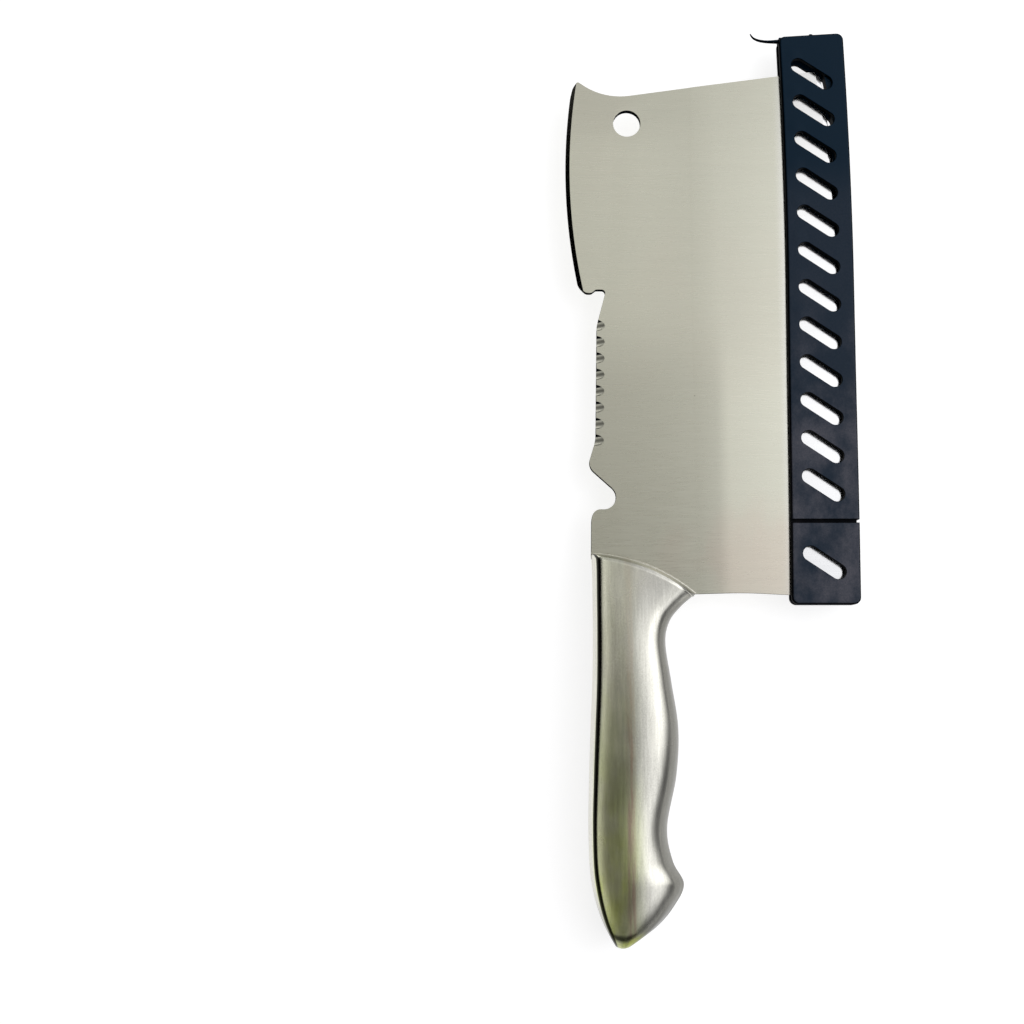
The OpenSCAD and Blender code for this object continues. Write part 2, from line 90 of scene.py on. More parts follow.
class BladeSizes(bpy.types.PropertyGroup):
    width: length("Width", "From the line of the spine to the cutting edge", 91.5)
    stock: length("Flat stock", "Width of the flat steel beside the spine", 42)
    top: length("Top edge", "Height of the top edge above the joint, at the spine", 167.5)
    top_rise: angle("Top rise", "Angle at which the top edge rises towards the toe", 8)
    toe_round: length("Toe rounding", "Rounding of the toe", 3.5)
    heel_drop: length("Heel drop", "How far the blade reaches below the joint at the handle", 14.2)
    hole: length("Hang hole", "Diameter of the hang hole", 10)
    hole_x: length("Hole across", "Distance of the hang hole from the line of the spine", 14.2)
    hole_y: length("Hole height", "Height of the hang hole above the joint", 158.9)
    back_reach: length("Back reach", "How far the rounded back stands out past the spine", 8.4)
    back_r: length("Back radius", "Radius of the rounded back", 218)
    back_y: length("Back middle", "Height of the rounded back's farthest point", 140.5)
    back_bevel: length("Back bevel", "Width of the bevel along the rounded back", 1.5)
    opener_y: length("Opener lip", "Height of the opener notch's lower lip", 16.2)
    opener_depth: length("Opener depth", "Depth of the notch, where its sides would meet", 17.8)
    opener_h: length("Opener height", "From the notch's lower lip to its upper lobe", 15)
    scallops: number("Scallops", "Number of scallops in the scaling edge", 8)
    scallop_pitch: length("Scallop pitch", "Distance from one scallop to the next", 6)
    scallop_r: length("Scallop radius", "Radius of the grinding that cuts a scallop", 2)
    scallop_reach: length("Scallop reach", "How far a scallop runs into the front face", 2.9)
    step_y: length("Step", "Height of the step's inner corner above the joint", 96)
    step_in: length("Step depth", "Depth of the step, from the line of the spine", 6.1)
    curve_y: length("Curve start", "Height at which the cutting edge starts to curve back", 102)
    curve_r: length("Edge curve", "Radius of the curved part of the cutting edge", 524)
    edge_bevel: length("Edge bevel", "Width of the bevel along the cutting edge", 1.6)
    edge_bevel_t: length("Bevel thickness", "Thickness where the edge bevel starts", 0.8)
    edge_t: length("Edge thickness", "Thickness left at the cutting edge", 0.3)
    edge_break: length("Edge break", "Width of the broken corners round the plate", 0.1)


class HandleSizes(bpy.types.PropertyGroup):
    reach: length("Length", "Length of the handle below the spine end of the joint", 135)
    width: length("Width", "Width that the handle's outline is drawn to", 31)
    thickness: length("Thickness", "Thickness of the handle at its fullest", 21)
    wall: length("Wall", "Wall of the pressed shells", 1.1)
    joint_r: length("Joint radius", "Radius of the curved joint between blade and handle", 62)
    joint_lead: length("Joint lead", "Distance of the joint's centre behind the spine", 3)
    shoulder: length("Shoulder", "Width of the rounded shoulder beside the joint", 2.6)
    bead: length("Bead", "Leg of the bead that joins each shell to the blade", 0.8)
    seam: length("Seam", "Width of the ground seams between the shells", 1.2)
    tang: length("Tang", "How far the stub tang reaches below the joint", 34)
    tang_w: length("Tang width", "Width of the stub tang", 16)
    tang_mid: length("Tang middle", "Distance of the tang's middle from the spine", 13)
    tip: length("Butt tip", "How far the butt's tip is rounded out between its two corners", 0.7)


class GuardSizes(bpy.types.PropertyGroup):
    width: length("Width", "From the guard's mouth to its closed side", 24.1)
    reach: length("Length", "Length of the guard", 211.3)
    thickness: length("Thickness", "Thickness over both plates", 6.8)
    wall: length("Wall", "Wall of the plates", 1.6)
    web: length("Closed side", "Thickness of the closed side", 2.3)
    edge_gap: length("Edge gap", "From the cutting edge to the closed side", 0.6)
    heel_cover: length("Heel cover", "How far the guard reaches past the heel", 2.4)
    lip: length("Lip", "Width of the gripping lips along the mouth", 2.2)
    lip_gap: length("Lip gap", "Clearance between each lip and the blade", 0.2)
    end_drop: length("End slope", "How much lower the upper end is at the mouth", 1.5)
    corner_r: length("Corner", "Rounding of the guard's corners", 2.5)
    rim_r: length("Rim", "Rounding along the guard's outer edges", 1)
    bow: length("Bow", "How far the guard bows towards its closed side", 1.33)
    slots: number("Slots", "Slots in the main section", 12)
    slot_pitch: length("Slot pitch", "Distance from one slot to the next", 13.88)
    first_slot: length("First slot", "From the guard's lower end to the first slot", 14.8)
    slot_l: length("Slot length", "Length of a slot over its round ends", 16.9)
    slot_w: length("Slot width", "Width of a slot", 5.3)
    slot_shift: length("Slot shift", "How far the slots lie off the middle, towards the mouth", 0.6)
    slot_tilt: angle("Slot slope", "Angle at which the slots slope", 34)
    snap_l: length("Snap-off end", "Length of the section that snaps off", 29.7)
    groove_w: length("Groove width", "Width of the snap-off groove", 1.2)
    groove_d: length("Groove depth", "Depth of the snap-off groove in each plate", 1)
    end_inset: length("End wall inset", "Distance of the end wall below the upper end", 1.5)
    tongue_reach: length("Tongue reach", "How far the end tongue reaches past the mouth", 10)
    tongue_curl: length("Tongue curl", "Height that the tongue's tip curls up", 3)
    tongue_t: length("Tongue", "Thickness of the end wall and the tongue's root", 1.2)
    tongue_w: length("Tongue width", "Width of the tongue across the guard", 1.8)


class FinishColours(bpy.types.PropertyGroup):
    steel: colour("Blade steel", "Brushed steel of the blade", (0.60, 0.595, 0.50))
    stain: colour("Steel stain", "Warmer tint of the blotches on the blade", (0.60, 0.545, 0.46))
    # Painted highlight: the ground steel under the guard is painted brighter than the blade's own
    # steel
    ground: colour("Ground steel", "Brighter steel beside the cutting edge", (0.70, 0.70, 0.69))
    # Painted shade: the stamped walls round the blade are painted near black, for the dark room that
    # they mirror
    cut: colour("Stamped steel", "Dark stamped walls round the blade", (0.004, 0.006, 0.008))
    handle: colour("Handle steel", "Satin steel of the handle", (0.56, 0.55, 0.49))
    # Painted reflections: the olive, the yellow-green and the brown stand in for colours that the
    # handle's steel mirrors
    olive: colour("Olive bloom", "Greenish bloom on the handle's spine side", (0.49, 0.52, 0.33))
    patch: colour("Butt patch", "Yellow-green patch at the butt's tip", (0.62, 0.70, 0.07))
    streak: colour("Brown streak", "Brown streak along the handle", (0.37, 0.29, 0.21))
    weld: colour("Weld", "Ground weld metal", (0.62, 0.60, 0.52))
    guard: colour("Guard", "Moulded plastic of the guard", (0.003, 0.016, 0.033))
    # Painted sheen: this tint lightens the rubbed patches and the guard towards its heel
    sheen: colour(
        "Guard sheen", "Rubbed tint of the guard, strongest towards the heel", (0.150, 0.143, 0.165)
    )
    floor: colour("Floor", "Plain floor under the knife", (0.45, 0.45, 0.455))


# Outlines, drawn in the plane of the blade from the spine end of the joint


def mix(a, b, share):
    return a + (b - a) * share


def arc_points(centre, r, start, end, steps):
    turns = [mix(start, end, i / steps) for i in range(steps + 1)]
    return [centre + r * Vector((math.cos(a), math.sin(a))) for a in turns]


def round_corner(a, b, c, r):
    """The arc that rounds corner b between a and c."""
    u, v = (a - b).normalized(), (c - b).normalized()
    half = math.acos(max(-1.0, min(1.0, u.dot(v)))) / 2
    centre = b + (u + v).normalized() * r / math.sin(half)
    start = b + u * r / math.tan(half) - centre
    first = math.atan2(start.y, start.x)
    way = math.copysign(1, (-u).x * v.y - (-u).y * v.x)
    return arc_points(centre, r, first, first + way * (math.pi - 2 * half), CORNER_STEPS)


def rounded_outline(rows):
    """An outline from rows of (x, y, rounding). A row with no rounding stays sharp."""
    spots = [Vector(row[:2]) for row in rows]
    points = []
    for i, (x, y, r) in enumerate(rows):
        if r:
            points += round_corner(spots[i - 1], spots[i], spots[(i + 1) % len(rows)], r)
        else:
            points.append(Vector((x, y)))
    return points


def circle(centre, r, steps):
    return arc_points(Vector(centre), r, 0, 2 * math.pi, steps)[:-1]


def sharp(points):
    return [(p[0], p[1], 0) for p in points]


def spline(values, t):
    """A smooth curve through numbers or points, with t from 0 to 1 over all of them."""
    last = len(values) - 1
    i = min(int(t * last), last - 1)
    s = t * last - i
    b, c = values[i], values[i + 1]
    a = values[i - 1] if i > 0 else 2 * b - c
    d = values[i + 2] if i + 2 <= last else 2 * c - b
    square, cube = 2 * a - 5 * b + 4 * c - d, 3 * b - a - 3 * c + d
    return b + ((c - a) * s + square * s**2 + cube * s**3) / 2


def circle_x(centre, r, y):
    """Where a circle's right side crosses height y."""
    return centre.x + math.sqrt(r**2 - (y - centre.y) ** 2)

# Meshes


def place():
    """Where the drawing's origin lies in the frame, taken from the blade's own box."""
    low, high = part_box("blade")
    scene = bpy.context.scene
    return Vector((
        low.x + scene.chopper_blade.back_reach,
        low.y + scene.chopper_handle.tang,
        (low.z + high.z) / 2,
    ))


def blade_thickness():
    low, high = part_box("blade")
    return high.z - low.z


@contextmanager
def edited(obj):
    """Opens a piece's mesh for editing and writes it back at the end."""
    bm = bmesh.new()
    bm.from_mesh(obj.data)
    yield bm
    bm.to_mesh(obj.data)
    bm.free()


def in_scene(name, data):
    made = bpy.data.objects.new(name, data)
    bpy.context.scene.collection.objects.link(made)
    return made


def new_object(name, points, faces):
    mesh = bpy.data.meshes.new(name)
    mesh.from_pydata([tuple(p) for p in points], [], faces)
    mesh.validate()
    return in_scene(name, mesh)


def outward(obj):
    """Welds doubled points and turns every face outwards."""
    with edited(obj) as bm:
        bmesh.ops.remove_doubles(bm, verts=bm.verts, dist=0.0005 * MM)
        bmesh.ops.recalc_face_normals(bm, faces=bm.faces)
    return obj


def prism(name, outline, low, high):
    """A flat outline given thickness between two heights."""
    n = len(outline)
    points = [(p[0], p[1], z) for z in (low, high) for p in outline]
    faces = [tuple(range(n)), tuple(range(n, 2 * n))]
    faces += [(i, (i + 1) % n, n + (i + 1) % n, n + i) for i in range(n)]
    return outward(new_object(name, points, faces))


def block(name, x0, x1, y0, y1, half):
    """A straight block that reaches as far above the blade's middle as below it."""
    return prism(name, [(x0, y0), (x1, y0), (x1, y1), (x0, y1)], -half, half)


def ring_along(name, profile, places):
    """A profile carried through places, each a function from a profile point to a spot in space."""
    n = len(profile)
    last = (len(places) - 1) * n
    points = [put(p) for put in places for p in profile]
    faces = []
    for k in range(0, last, n):
        faces += [(k + i, k + (i + 1) % n, k + n + (i + 1) % n, k + n + i) for i in range(n)]
    faces += [tuple(range(n)), tuple(range(last, last + n))]
    return outward(new_object(name, points, faces))


def along_y(name, profile, stations):
    """A profile drawn across X and Z, carried along Y."""
    return ring_along(name, profile, [lambda p, y=y: (p[0], y, p[1]) for y in stations])


def round_centre(name, profile, centre, start, end, steps):
    """A profile of (radius, height), carried round a centre."""
    def put(a):
        return lambda p: (centre.x + p[0] * math.cos(a), centre.y + p[0] * math.sin(a), p[1])
    return ring_along(name, profile, [put(mix(start, end, i / steps)) for i in range(steps + 1)])


def plain_mesh(obj):
    """Turns an object with modifiers into a plain mesh with none."""
    graph = bpy.context.evaluated_depsgraph_get()
    old = obj.data
    made = bpy.data.meshes.new_from_object(obj.evaluated_get(graph))
    obj.modifiers.clear()
    obj.data = made
    made.name = obj.name
    bpy.data.meshes.remove(old)
    return obj


def join_solids(obj, other, operation):
    """Cuts another solid away, keeps what both share, or adds it. The other one is used up."""
    step = obj.modifiers.new(operation, "BOOLEAN")
    step.operation = operation
    step.solver = "EXACT"
    step.object = other
    plain_mesh(obj)
    bpy.data.objects.remove(other)
    return obj


def clean_flats(obj):
    """Joins faces that lie in one plane, so that only real edges are left to round."""
    with edited(obj) as bm:
        bmesh.ops.remove_doubles(bm, verts=bm.verts, dist=0.002 * MM)
        bmesh.ops.dissolve_limit(
            bm, angle_limit=math.radians(0.05), verts=bm.verts, edges=bm.edges
        )
    return obj


def smooth(obj, crease):
    """Shades smoothly over edges of fewer degrees than the crease, and lets larger faces lead."""
    mesh = obj.data
    near = math.cos(math.radians(crease))
    ways = [p.normal.copy() for p in mesh.polygons]
    areas = [p.area for p in mesh.polygons]
    faces_at = [[] for _ in mesh.vertices]
    for p in mesh.polygons:
        for v in p.vertices:
            faces_at[v].append(p.index)
    normals = []
    for p in mesh.polygons:
        way = ways[p.index]
        for v in p.vertices:
            total = Vector()
            for q in faces_at[v]:
                if ways[q].dot(way) > near:
                    total += ways[q] * areas[q]
            normals.append(total.normalized())
    mesh.shade_smooth()
    mesh.normals_split_custom_set(normals)
    return obj


def brush_map(obj):
    """Lays a map whose first axis runs across the brush lines, the way that highlights stretch."""
    lines = obj.data.uv_layers.new(name="brush")
    for loop in obj.data.loops:
        spot = obj.data.vertices[loop.vertex_index].co
        lines.data[loop.index].uv = (spot.y, spot.x + spot.z)
    return obj


def finish_piece(obj, material, body, nodes):
    """Moves a drawn piece to its place in the frame, gives it its body and finish, and hides the CAD
    parts that it stands in for.
    """
    obj.data.transform(Matrix.Translation(place()))
    obj.data.materials.clear()
    obj.data.materials.append(material)
    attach(obj, body)
    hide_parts(*nodes)
    return obj


# Node trees


def feed(tree, node, inputs):
    """Links each input that is given another node's output, and sets any other."""
    for name, value in inputs.items():
        if isinstance(value, bpy.types.NodeSocket):
            tree.links.new(value, node.inputs[name])
        else:
            node.inputs[name].default_value = value
    return node


def add(tree, kind, inputs=None, **settings):
    made = tree.nodes.new(kind)
    for name, value in settings.items():
        setattr(made, name, value)
    return feed(tree, made, inputs or {})


def maths(tree, operation, a, b=0.0):
    return add(tree, "ShaderNodeMath", {0: a, 1: b}, operation=operation).outputs[0]


def times(tree, *values):
    return reduce(lambda a, b: maths(tree, "MULTIPLY", a, b), values)


def plus(tree, *values):
    return reduce(lambda a, b: maths(tree, "ADD", a, b), values)


def minus(tree, a, b):
    return maths(tree, "SUBTRACT", a, b)


def highest(tree, a, b):
    return maths(tree, "MAXIMUM", a, b)


def absolute(tree, value):
    return maths(tree, "ABSOLUTE", value)


def vector(tree, **parts):
    return add(tree, "ShaderNodeCombineXYZ", parts).outputs[0]


def vector_maths(tree, operation, inputs, output=0):
    return add(tree, "ShaderNodeVectorMath", inputs, operation=operation).outputs[output]


def split(tree, given):
    return add(tree, "ShaderNodeSeparateXYZ", {0: given}).outputs


def own(tree, kind):
    """The object's own coordinates or normal, by the output's name."""
    return tree.nodes.new("ShaderNodeTexCoord").outputs[kind]


def ramp(tree, value, low, high, at_low=0.0, at_high=1.0):
    """Passes smoothly from at_low to at_high while the value goes from low to high."""
    return add(
        tree, "ShaderNodeMapRange",
        {"Value": value, "From Min": low, "From Max": high, "To Min": at_low, "To Max": at_high},
        interpolation_type="SMOOTHSTEP",
    ).outputs["Result"]


def blend_colours(tree, share, a, b):
    a, b = (c if isinstance(c, bpy.types.NodeSocket) else (*c[:3], 1.0) for c in (a, b))
    return add(tree, "ShaderNodeMix", {0: share, 6: a, 7: b}, data_type="RGBA").outputs[2]


def noise(tree, coordinates, scale, detail=2.0, stretch=(1, 1, 1), roughness=0.5):
    """Noise on object coordinates. A stretch under 1 draws the grain out along that axis."""
    drawn = add(tree, "ShaderNodeMapping", {"Vector": coordinates, "Scale": stretch})
    return add(
        tree, "ShaderNodeTexNoise",
        {"Vector": drawn.outputs[0], "Scale": scale, "Detail": detail, "Roughness": roughness},
    ).outputs["Fac"]


def new_material(name):
    """A material with only a Principled shader."""
    made = bpy.data.materials.new(name)
    made.use_nodes = True
    return made, made.node_tree, made.node_tree.nodes["Principled BSDF"]


def bump(tree, shader, height, distance, under=None):
    """Lays a bump on a shader, over the one that is under it."""
    made = add(tree, "ShaderNodeBump", {"Height": height, "Distance": distance})
    if under:
        tree.links.new(under, made.inputs["Normal"])
    tree.links.new(made.outputs[0], shader.inputs["Normal"])
    return made.outputs[0]


# Finishes

# Between which places the blade's painted light fades, as heights in the frame: the top and the foot
# of its painted brighter upper part, its lower part with painted shade behind a painted highlight
# along the edge, and the stain near the handle
UPPER_TOP, UPPER_FOOT = (134 * MM, 116 * MM), (28 * MM, 63 * MM)
LOWER_TOP, STAINED = (63 * MM, 21 * MM), (20 * MM, -30 * MM)
# The same as distances behind the cutting edge, with the strip that the guard covers last, whose
# steel is smoother and painted brighter as a painted highlight
UPPER_SIDE, LOWER_SIDE, COVERED = (75 * MM, 50 * MM), (47 * MM, 41 * MM), (24 * MM, 17 * MM)
# Distances past the spine, short of which the steel is hardly stained
CLEAN_SPINE = (4 * MM, 14 * MM)


def brushed_steel():
    """Steel brushed across the blade: short fine lines along X, faint blotches and a few specks,
    with
    painted light: a brighter upper part, painted shade and a painted highlight towards the edge, and
    a painted highlight on the strip under the guard.

    The bevel of the rounded back is smoother than the scallops, and the stamped walls, with faces
    turned towards the handle, are painted near black as painted shade."""
    scene = bpy.context.scene
    finish, b = scene.chopper_finish, scene.chopper_blade
    made, tree, shader = new_material("brushed_steel")
    where = own(tree, "Object")
    x, y = split(tree, where)[:2]
    behind_edge = minus(tree, place().x + b.width, x)
    past_spine = minus(tree, x, place().x)
    lines = noise(tree, where, 2600, 2, (0.05, 1, 0.5))
    wide_lines = noise(tree, where, 500, 2, (0.08, 1, 0.5))
    blotches = noise(tree, where, 26, 3, (1, 0.7, 1))

    near_handle = times(
        tree, ramp(tree, y, *STAINED, 0.0, 0.75), ramp(tree, past_spine, *CLEAN_SPINE, 0.1, 1.0)
    )
    stain = times(tree, ramp(tree, blotches, 0.46, 0.66), plus(tree, near_handle, 0.12))
    # Painted highlight: the strip that the guard covers takes the brighter ground steel
    covered = ramp(tree, behind_edge, *COVERED)
    base = blend_colours(tree, stain, finish.steel, finish.stain)
    base = blend_colours(tree, covered, base, finish.ground)

    specks = add(tree, "ShaderNodeTexVoronoi", {"Vector": where, "Scale": 95.0})
    speck_size = ramp(tree, noise(tree, where, 60, 0), 0.62, 0.72, 0.0, 0.022)
    speck = maths(tree, "LESS_THAN", specks.outputs["Distance"], speck_size)
    # Painted light: a brighter upper part, and on the lower part painted shade behind a painted
    # highlight along the edge
    upper = times(
        tree, ramp(tree, y, *UPPER_TOP), ramp(tree, y, *UPPER_FOOT),
        ramp(tree, behind_edge, *UPPER_SIDE, 0.10, 0.03),
    )
    lower = times(
        tree, ramp(tree, y, *LOWER_TOP), ramp(tree, behind_edge, *LOWER_SIDE, -0.07, 0.11)
    )
    shade = plus(
        tree, ramp(tree, lines, 0.25, 0.75, -0.03, 0.03), 1.0,
        ramp(tree, wide_lines, 0.3, 0.7, -0.008, 0.008), times(tree, speck, -0.35), upper, lower,
    )

    # Painted shade: steep walls and faces turned towards the handle are painted near black, with no
    # metal shine
    facing = split(tree, own(tree, "Normal"))
    flat = absolute(tree, facing[2])
    wall = highest(
        tree, ramp(tree, flat, 0.42, 0.62, 1.0, 0.0), ramp(tree, facing[1], -0.56, -0.70)
    )
    steel_share = minus(tree, 1.0, wall)
    brushed = minus(tree, ramp(tree, lines, 0.25, 0.75, 0.26, 0.33), times(tree, covered, 0.13))
    scaling_top = place().y + b.step_y - 4 * MM
    ground = ramp(tree, y, scaling_top, scaling_top - 2 * MM, 0.12, 0.30)
    shaded = vector_maths(tree, "SCALE", {0: base, "Scale": shade})
    across = add(tree, "ShaderNodeTangent", direction_type="UV_MAP", uv_map="brush")
    feed(tree, shader, {
        "Base Color": blend_colours(tree, wall, shaded, finish.cut),
        "Metallic": steel_share,
        "Specular IOR Level": times(tree, steel_share, 0.5),
        "Roughness": add(
            tree, "ShaderNodeMix", {0: ramp(tree, flat, 0.93, 0.97), 2: ground, 3: brushed}
        ).outputs[0],
        "Anisotropic": 0.7,
        "Tangent": across.outputs[0],
    })
    bump(tree, shader, lines, 0.0008 * MM)
    return made


def satin_steel(name, base, grain, rough, flank):
    """Satin steel with a fine grain and rubs along the handle, with painted reflections: an olive
    tint, a brown streak and a yellow-green patch, and bands of painted light and shade by the way
    that the steel faces.

    The flank is the share of painted brightness that is left where the steel turns to the spine."""
    scene = bpy.context.scene
    finish, h = scene.chopper_finish, scene.chopper_handle
    made, tree, shader = new_material(name)
    where = own(tree, "Object")
    fine = noise(tree, where, grain, 2)
    rub = noise(tree, where, 1100, 3, (1, 0.07, 1))
    worn = noise(tree, where, 45, 3)
    cloud = noise(tree, where, 110, 4, (1, 0.4, 1), 0.6)
    x, y = split(tree, where)[:2]
    across = minus(tree, x, place().x)
    down = minus(tree, place().y, y)
    side, _, front = split(tree, own(tree, "Normal"))[:3]

    # Painted reflections: an olive tint on the spine side where the shells face up, greener towards
    # the butt
    low = ramp(tree, down, 0.1 * h.reach, 0.7 * h.reach, 0.3, 1.0)
    left = times(
        tree, ramp(tree, across, 0.30 * h.width, 0.62 * h.width, 1.0, 0.0),
        ramp(tree, front, 0.2, 0.7),
    )
    reflection = times(tree, low, left, ramp(tree, cloud, 0.35, 0.65, 0.5, 1.0))
    green_reflection = times(
        tree, ramp(tree, down, 0.5 * h.reach, 0.92 * h.reach, 0.0, 0.45), left,
        ramp(tree, cloud, 0.35, 0.65, 0.4, 1.0),
    )
    # Painted reflection: a brown streak along the handle
    beside_streak = absolute(tree, minus(tree, across, 0.40 * h.width))
    streak = times(
        tree, ramp(tree, beside_streak, 0.5 * MM, 2.2 * MM, 1.0, 0.0), low,
        ramp(tree, rub, 0.35, 0.65, 0.3, 1.0),
    )
    # Painted reflection: a yellow-green patch at the butt's tip
    tip = place() + Vector((0.42 * h.width, -0.985 * h.reach, 3 * MM))
    from_tip = vector_maths(tree, "DISTANCE", {0: where, 1: tip}, "Value")
    patch = times(
        tree, ramp(tree, from_tip, 3 * MM, 7.5 * MM, 0.9, 0.0), ramp(tree, cloud, 0.36, 0.5)
    )
    tint = base
    for share, stain in (
        (reflection, finish.olive), (green_reflection, finish.patch), (streak, finish.streak), (patch, finish.patch),
    ):
        tint = blend_colours(tree, share, tint, stain)

    # Painted reflections: bands of painted light and shade by the way that the steel faces, where
    # the handle mirrors its room, with painted shade towards the butt
    bands = (
        ramp(tree, side, 0.36, 0.64, 1.0, 0.40),
        plus(tree, ramp(tree, side, -0.02, 0.10, 1.0, 0.82), ramp(tree, side, 0.2, 0.3, 0.0, 0.2)),
        highest(
            tree, ramp(tree, side, -0.42, -0.32, flank, 1.0),
            ramp(tree, side, -0.90, -0.82, 0.9, 0.0),
        ),
        ramp(tree, side, -0.22, -0.10, 1.5, 1.0),
        ramp(tree, down, 0.84 * h.reach, 0.97 * h.reach, 1.0, 0.5),
    )
    shade = plus(
        tree, ramp(tree, fine, 0.25, 0.75, -0.09, 0.09), 1.0,
        ramp(tree, rub, 0.3, 0.7, -0.07, 0.07), ramp(tree, worn, 0.35, 0.65, -0.03, 0.03),
    )
    shade = times(tree, shade, *bands)
    feed(tree, shader, {
        "Base Color": vector_maths(tree, "SCALE", {0: tint, "Scale": shade}),
        "Metallic": 1.0,
        "Roughness": ramp(tree, worn, 0.3, 0.7, rough - 0.02, rough + 0.03),
    })
    bump(tree, shader, rub, 0.004 * MM, under=bump(tree, shader, fine, 0.006 * MM))
    return made


def moulded_plastic():
    """Dark moulded plastic with a fine grain, sink marks beside the slots, rubbed and smudged
    patches under a painted sheen, and painted shade in the groove and on the walls and sides.
    """
    scene = bpy.context.scene
    finish, g, f = scene.chopper_finish, scene.chopper_guard, guard_frame()
    made, tree, shader = new_material("moulded_plastic")
    where = own(tree, "Object")
    clouds = noise(tree, where, 62, 4, (1, 0.7, 1), 0.6)
    specks = noise(tree, where, 2200, 2)
    grain = noise(tree, where, 1400, 2)
    flow = noise(tree, where, 140, 3, (1, 0.35, 1))
    x, y = split(tree, where)[:2]

    # Rubbed patches low on the guard, with a painted sheen that lightens it towards the heel
    clouded = times(
        tree, ramp(tree, clouds, 0.38, 0.68), ramp(tree, y, 85 * MM, -10 * MM, 0.0, 0.55)
    )
    smudges_and_sheen = times(
        tree, plus(tree, clouded, ramp(tree, y, 118 * MM, 95 * MM, 0.0, 0.11)),
        ramp(tree, specks, 0.3, 0.7, 0.7, 1.0),
    )
    # Painted shade: the groove, the slots' walls and the sides are painted dark, with less shine
    flat = ramp(tree, absolute(tree, split(tree, own(tree, "Normal"))[2]), 0.8, 0.97)
    groove_y = place().y + f["snap_y"] - SLOT_SAG * GROOVE_SAG
    beside_groove = absolute(tree, minus(tree, y, groove_y))
    lit = times(tree, flat, ramp(tree, beside_groove, 0.7 * MM, 0.9 * MM))
    lit = plus(tree, times(tree, lit, 0.9), 0.1)
    base = blend_colours(tree, smudges_and_sheen, finish.guard, finish.sheen)
    feed(tree, shader, {
        "Base Color": vector_maths(tree, "SCALE", {0: base, "Scale": lit}),
        "Specular IOR Level": times(tree, lit, 0.08),
        "Roughness": plus(tree, ramp(tree, flow, 0.3, 0.7, 0.36, 0.46), times(tree, smudges_and_sheen, 0.08)),
    })

    # One sink mark to each slot, counted by the slots' pitch
    past_first = minus(tree, y, place().y + f["y0"] + g.first_slot)
    turns = maths(tree, "FRACT", maths(tree, "DIVIDE", past_first, g.slot_pitch))
    along = times(tree, minus(tree, turns, 0.5), g.slot_pitch)
    aside = minus(tree, x, place().x + f["x0"] + SINK_INSET)
    away = vector_maths(tree, "LENGTH", {0: vector(tree, X=aside, Y=along)}, "Value")
    sink = ramp(tree, away, 0.0, 4 * MM, 1.0, 0.0)
    under = bump(tree, shader, grain, 0.012 * MM)
    under = bump(tree, shader, flow, 0.03 * MM, under)
    bump(tree, shader, sink, 0.16 * MM, under)
    return made


# Geometry trees


def new_node_tree(name, **sizes):
    """A geometry tree with a geometry input, named size inputs, a material input and its output."""
    tree = bpy.data.node_groups.new(name, "GeometryNodeTree")
    tree.is_modifier = True
    inputs = {"Geometry": "Geometry", **sizes, "Material": "Material"}
    for size, kind in inputs.items():
        tree.interface.new_socket(size, in_out="INPUT", socket_type="NodeSocket" + kind)
    tree.interface.new_socket("Geometry", in_out="OUTPUT", socket_type="NodeSocketGeometry")
    return tree, tree.nodes.new("NodeGroupInput").outputs


def end_tree(tree, given, geometry):
    """Makes the result real, gives it its material and sends it out."""
    real = add(tree, "GeometryNodeRealizeInstances", {"Geometry": geometry})
    dressed = add(
        tree, "GeometryNodeSetMaterial",
        {"Geometry": real.outputs[0], "Material": given["Material"]},
    )
    add(tree, "NodeGroupOutput", {"Geometry": dressed.outputs[0]})
    return tree


def cut_row(tree, given, row, cutter, turn):
    """Puts a turned cutter on each point of a row and takes them all out of the given geometry."""
    turned = add(tree, "FunctionNodeEulerToRotation", {0: turn})
    cutters = add(
        tree, "GeometryNodeInstanceOnPoints",
        {"Points": row.outputs[0], "Instance": cutter.outputs[0], "Rotation": turned.outputs[0]},
    )
    real = add(tree, "GeometryNodeRealizeInstances", {"Geometry": cutters.outputs[0]})
    cut = add(
        tree, "GeometryNodeMeshBoolean", {"Mesh 1": given["Geometry"], "Mesh 2": real.outputs[0]},
        operation="DIFFERENCE", solver="EXACT",
    )
    return end_tree(tree, given, cut.outputs[0])


def run_tree(obj, tree, values):
    """Runs a geometry tree on an object with the given sizes and leaves a plain mesh."""
    step = obj.modifiers.new(tree.name, "NODES")
    step.node_group = tree
    for item in tree.interface.items_tree:
        if item.item_type == "SOCKET" and item.in_out == "INPUT" and item.name in values:
            step[item.identifier] = values[item.name]
    return plain_mesh(obj)


# How far a scallop's section leans along the blade, which sharpens its upper wall
SCALLOP_SKEW = -0.12


def scallop_tree():
    """A row of slanted round cutters, taken out of the blade."""
    tree, given = new_node_tree(
        "scallop_row", Count="Int", First="Vector", Last="Vector", Radius="Float", Slant="Float",
        Reach="Float",
    )
    row = add(
        tree, "GeometryNodeMeshLine",
        {"Count": given["Count"], "Start Location": given["First"], "Offset": given["Last"]},
        mode="END_POINTS",
    )
    gouge = add(
        tree, "GeometryNodeMeshCylinder",
        {"Vertices": 48, "Radius": given["Radius"], "Depth": given["Reach"]},
    )
    height = split(tree, tree.nodes.new("GeometryNodeInputPosition").outputs[0])[0]
    sideways = vector(tree, Y=times(tree, height, SCALLOP_SKEW))
    skewed = add(
        tree, "GeometryNodeSetPosition", {"Geometry": gouge.outputs[0], "Offset": sideways}
    )
    return cut_row(tree, given, row, skewed, vector(tree, Y=given["Slant"]))


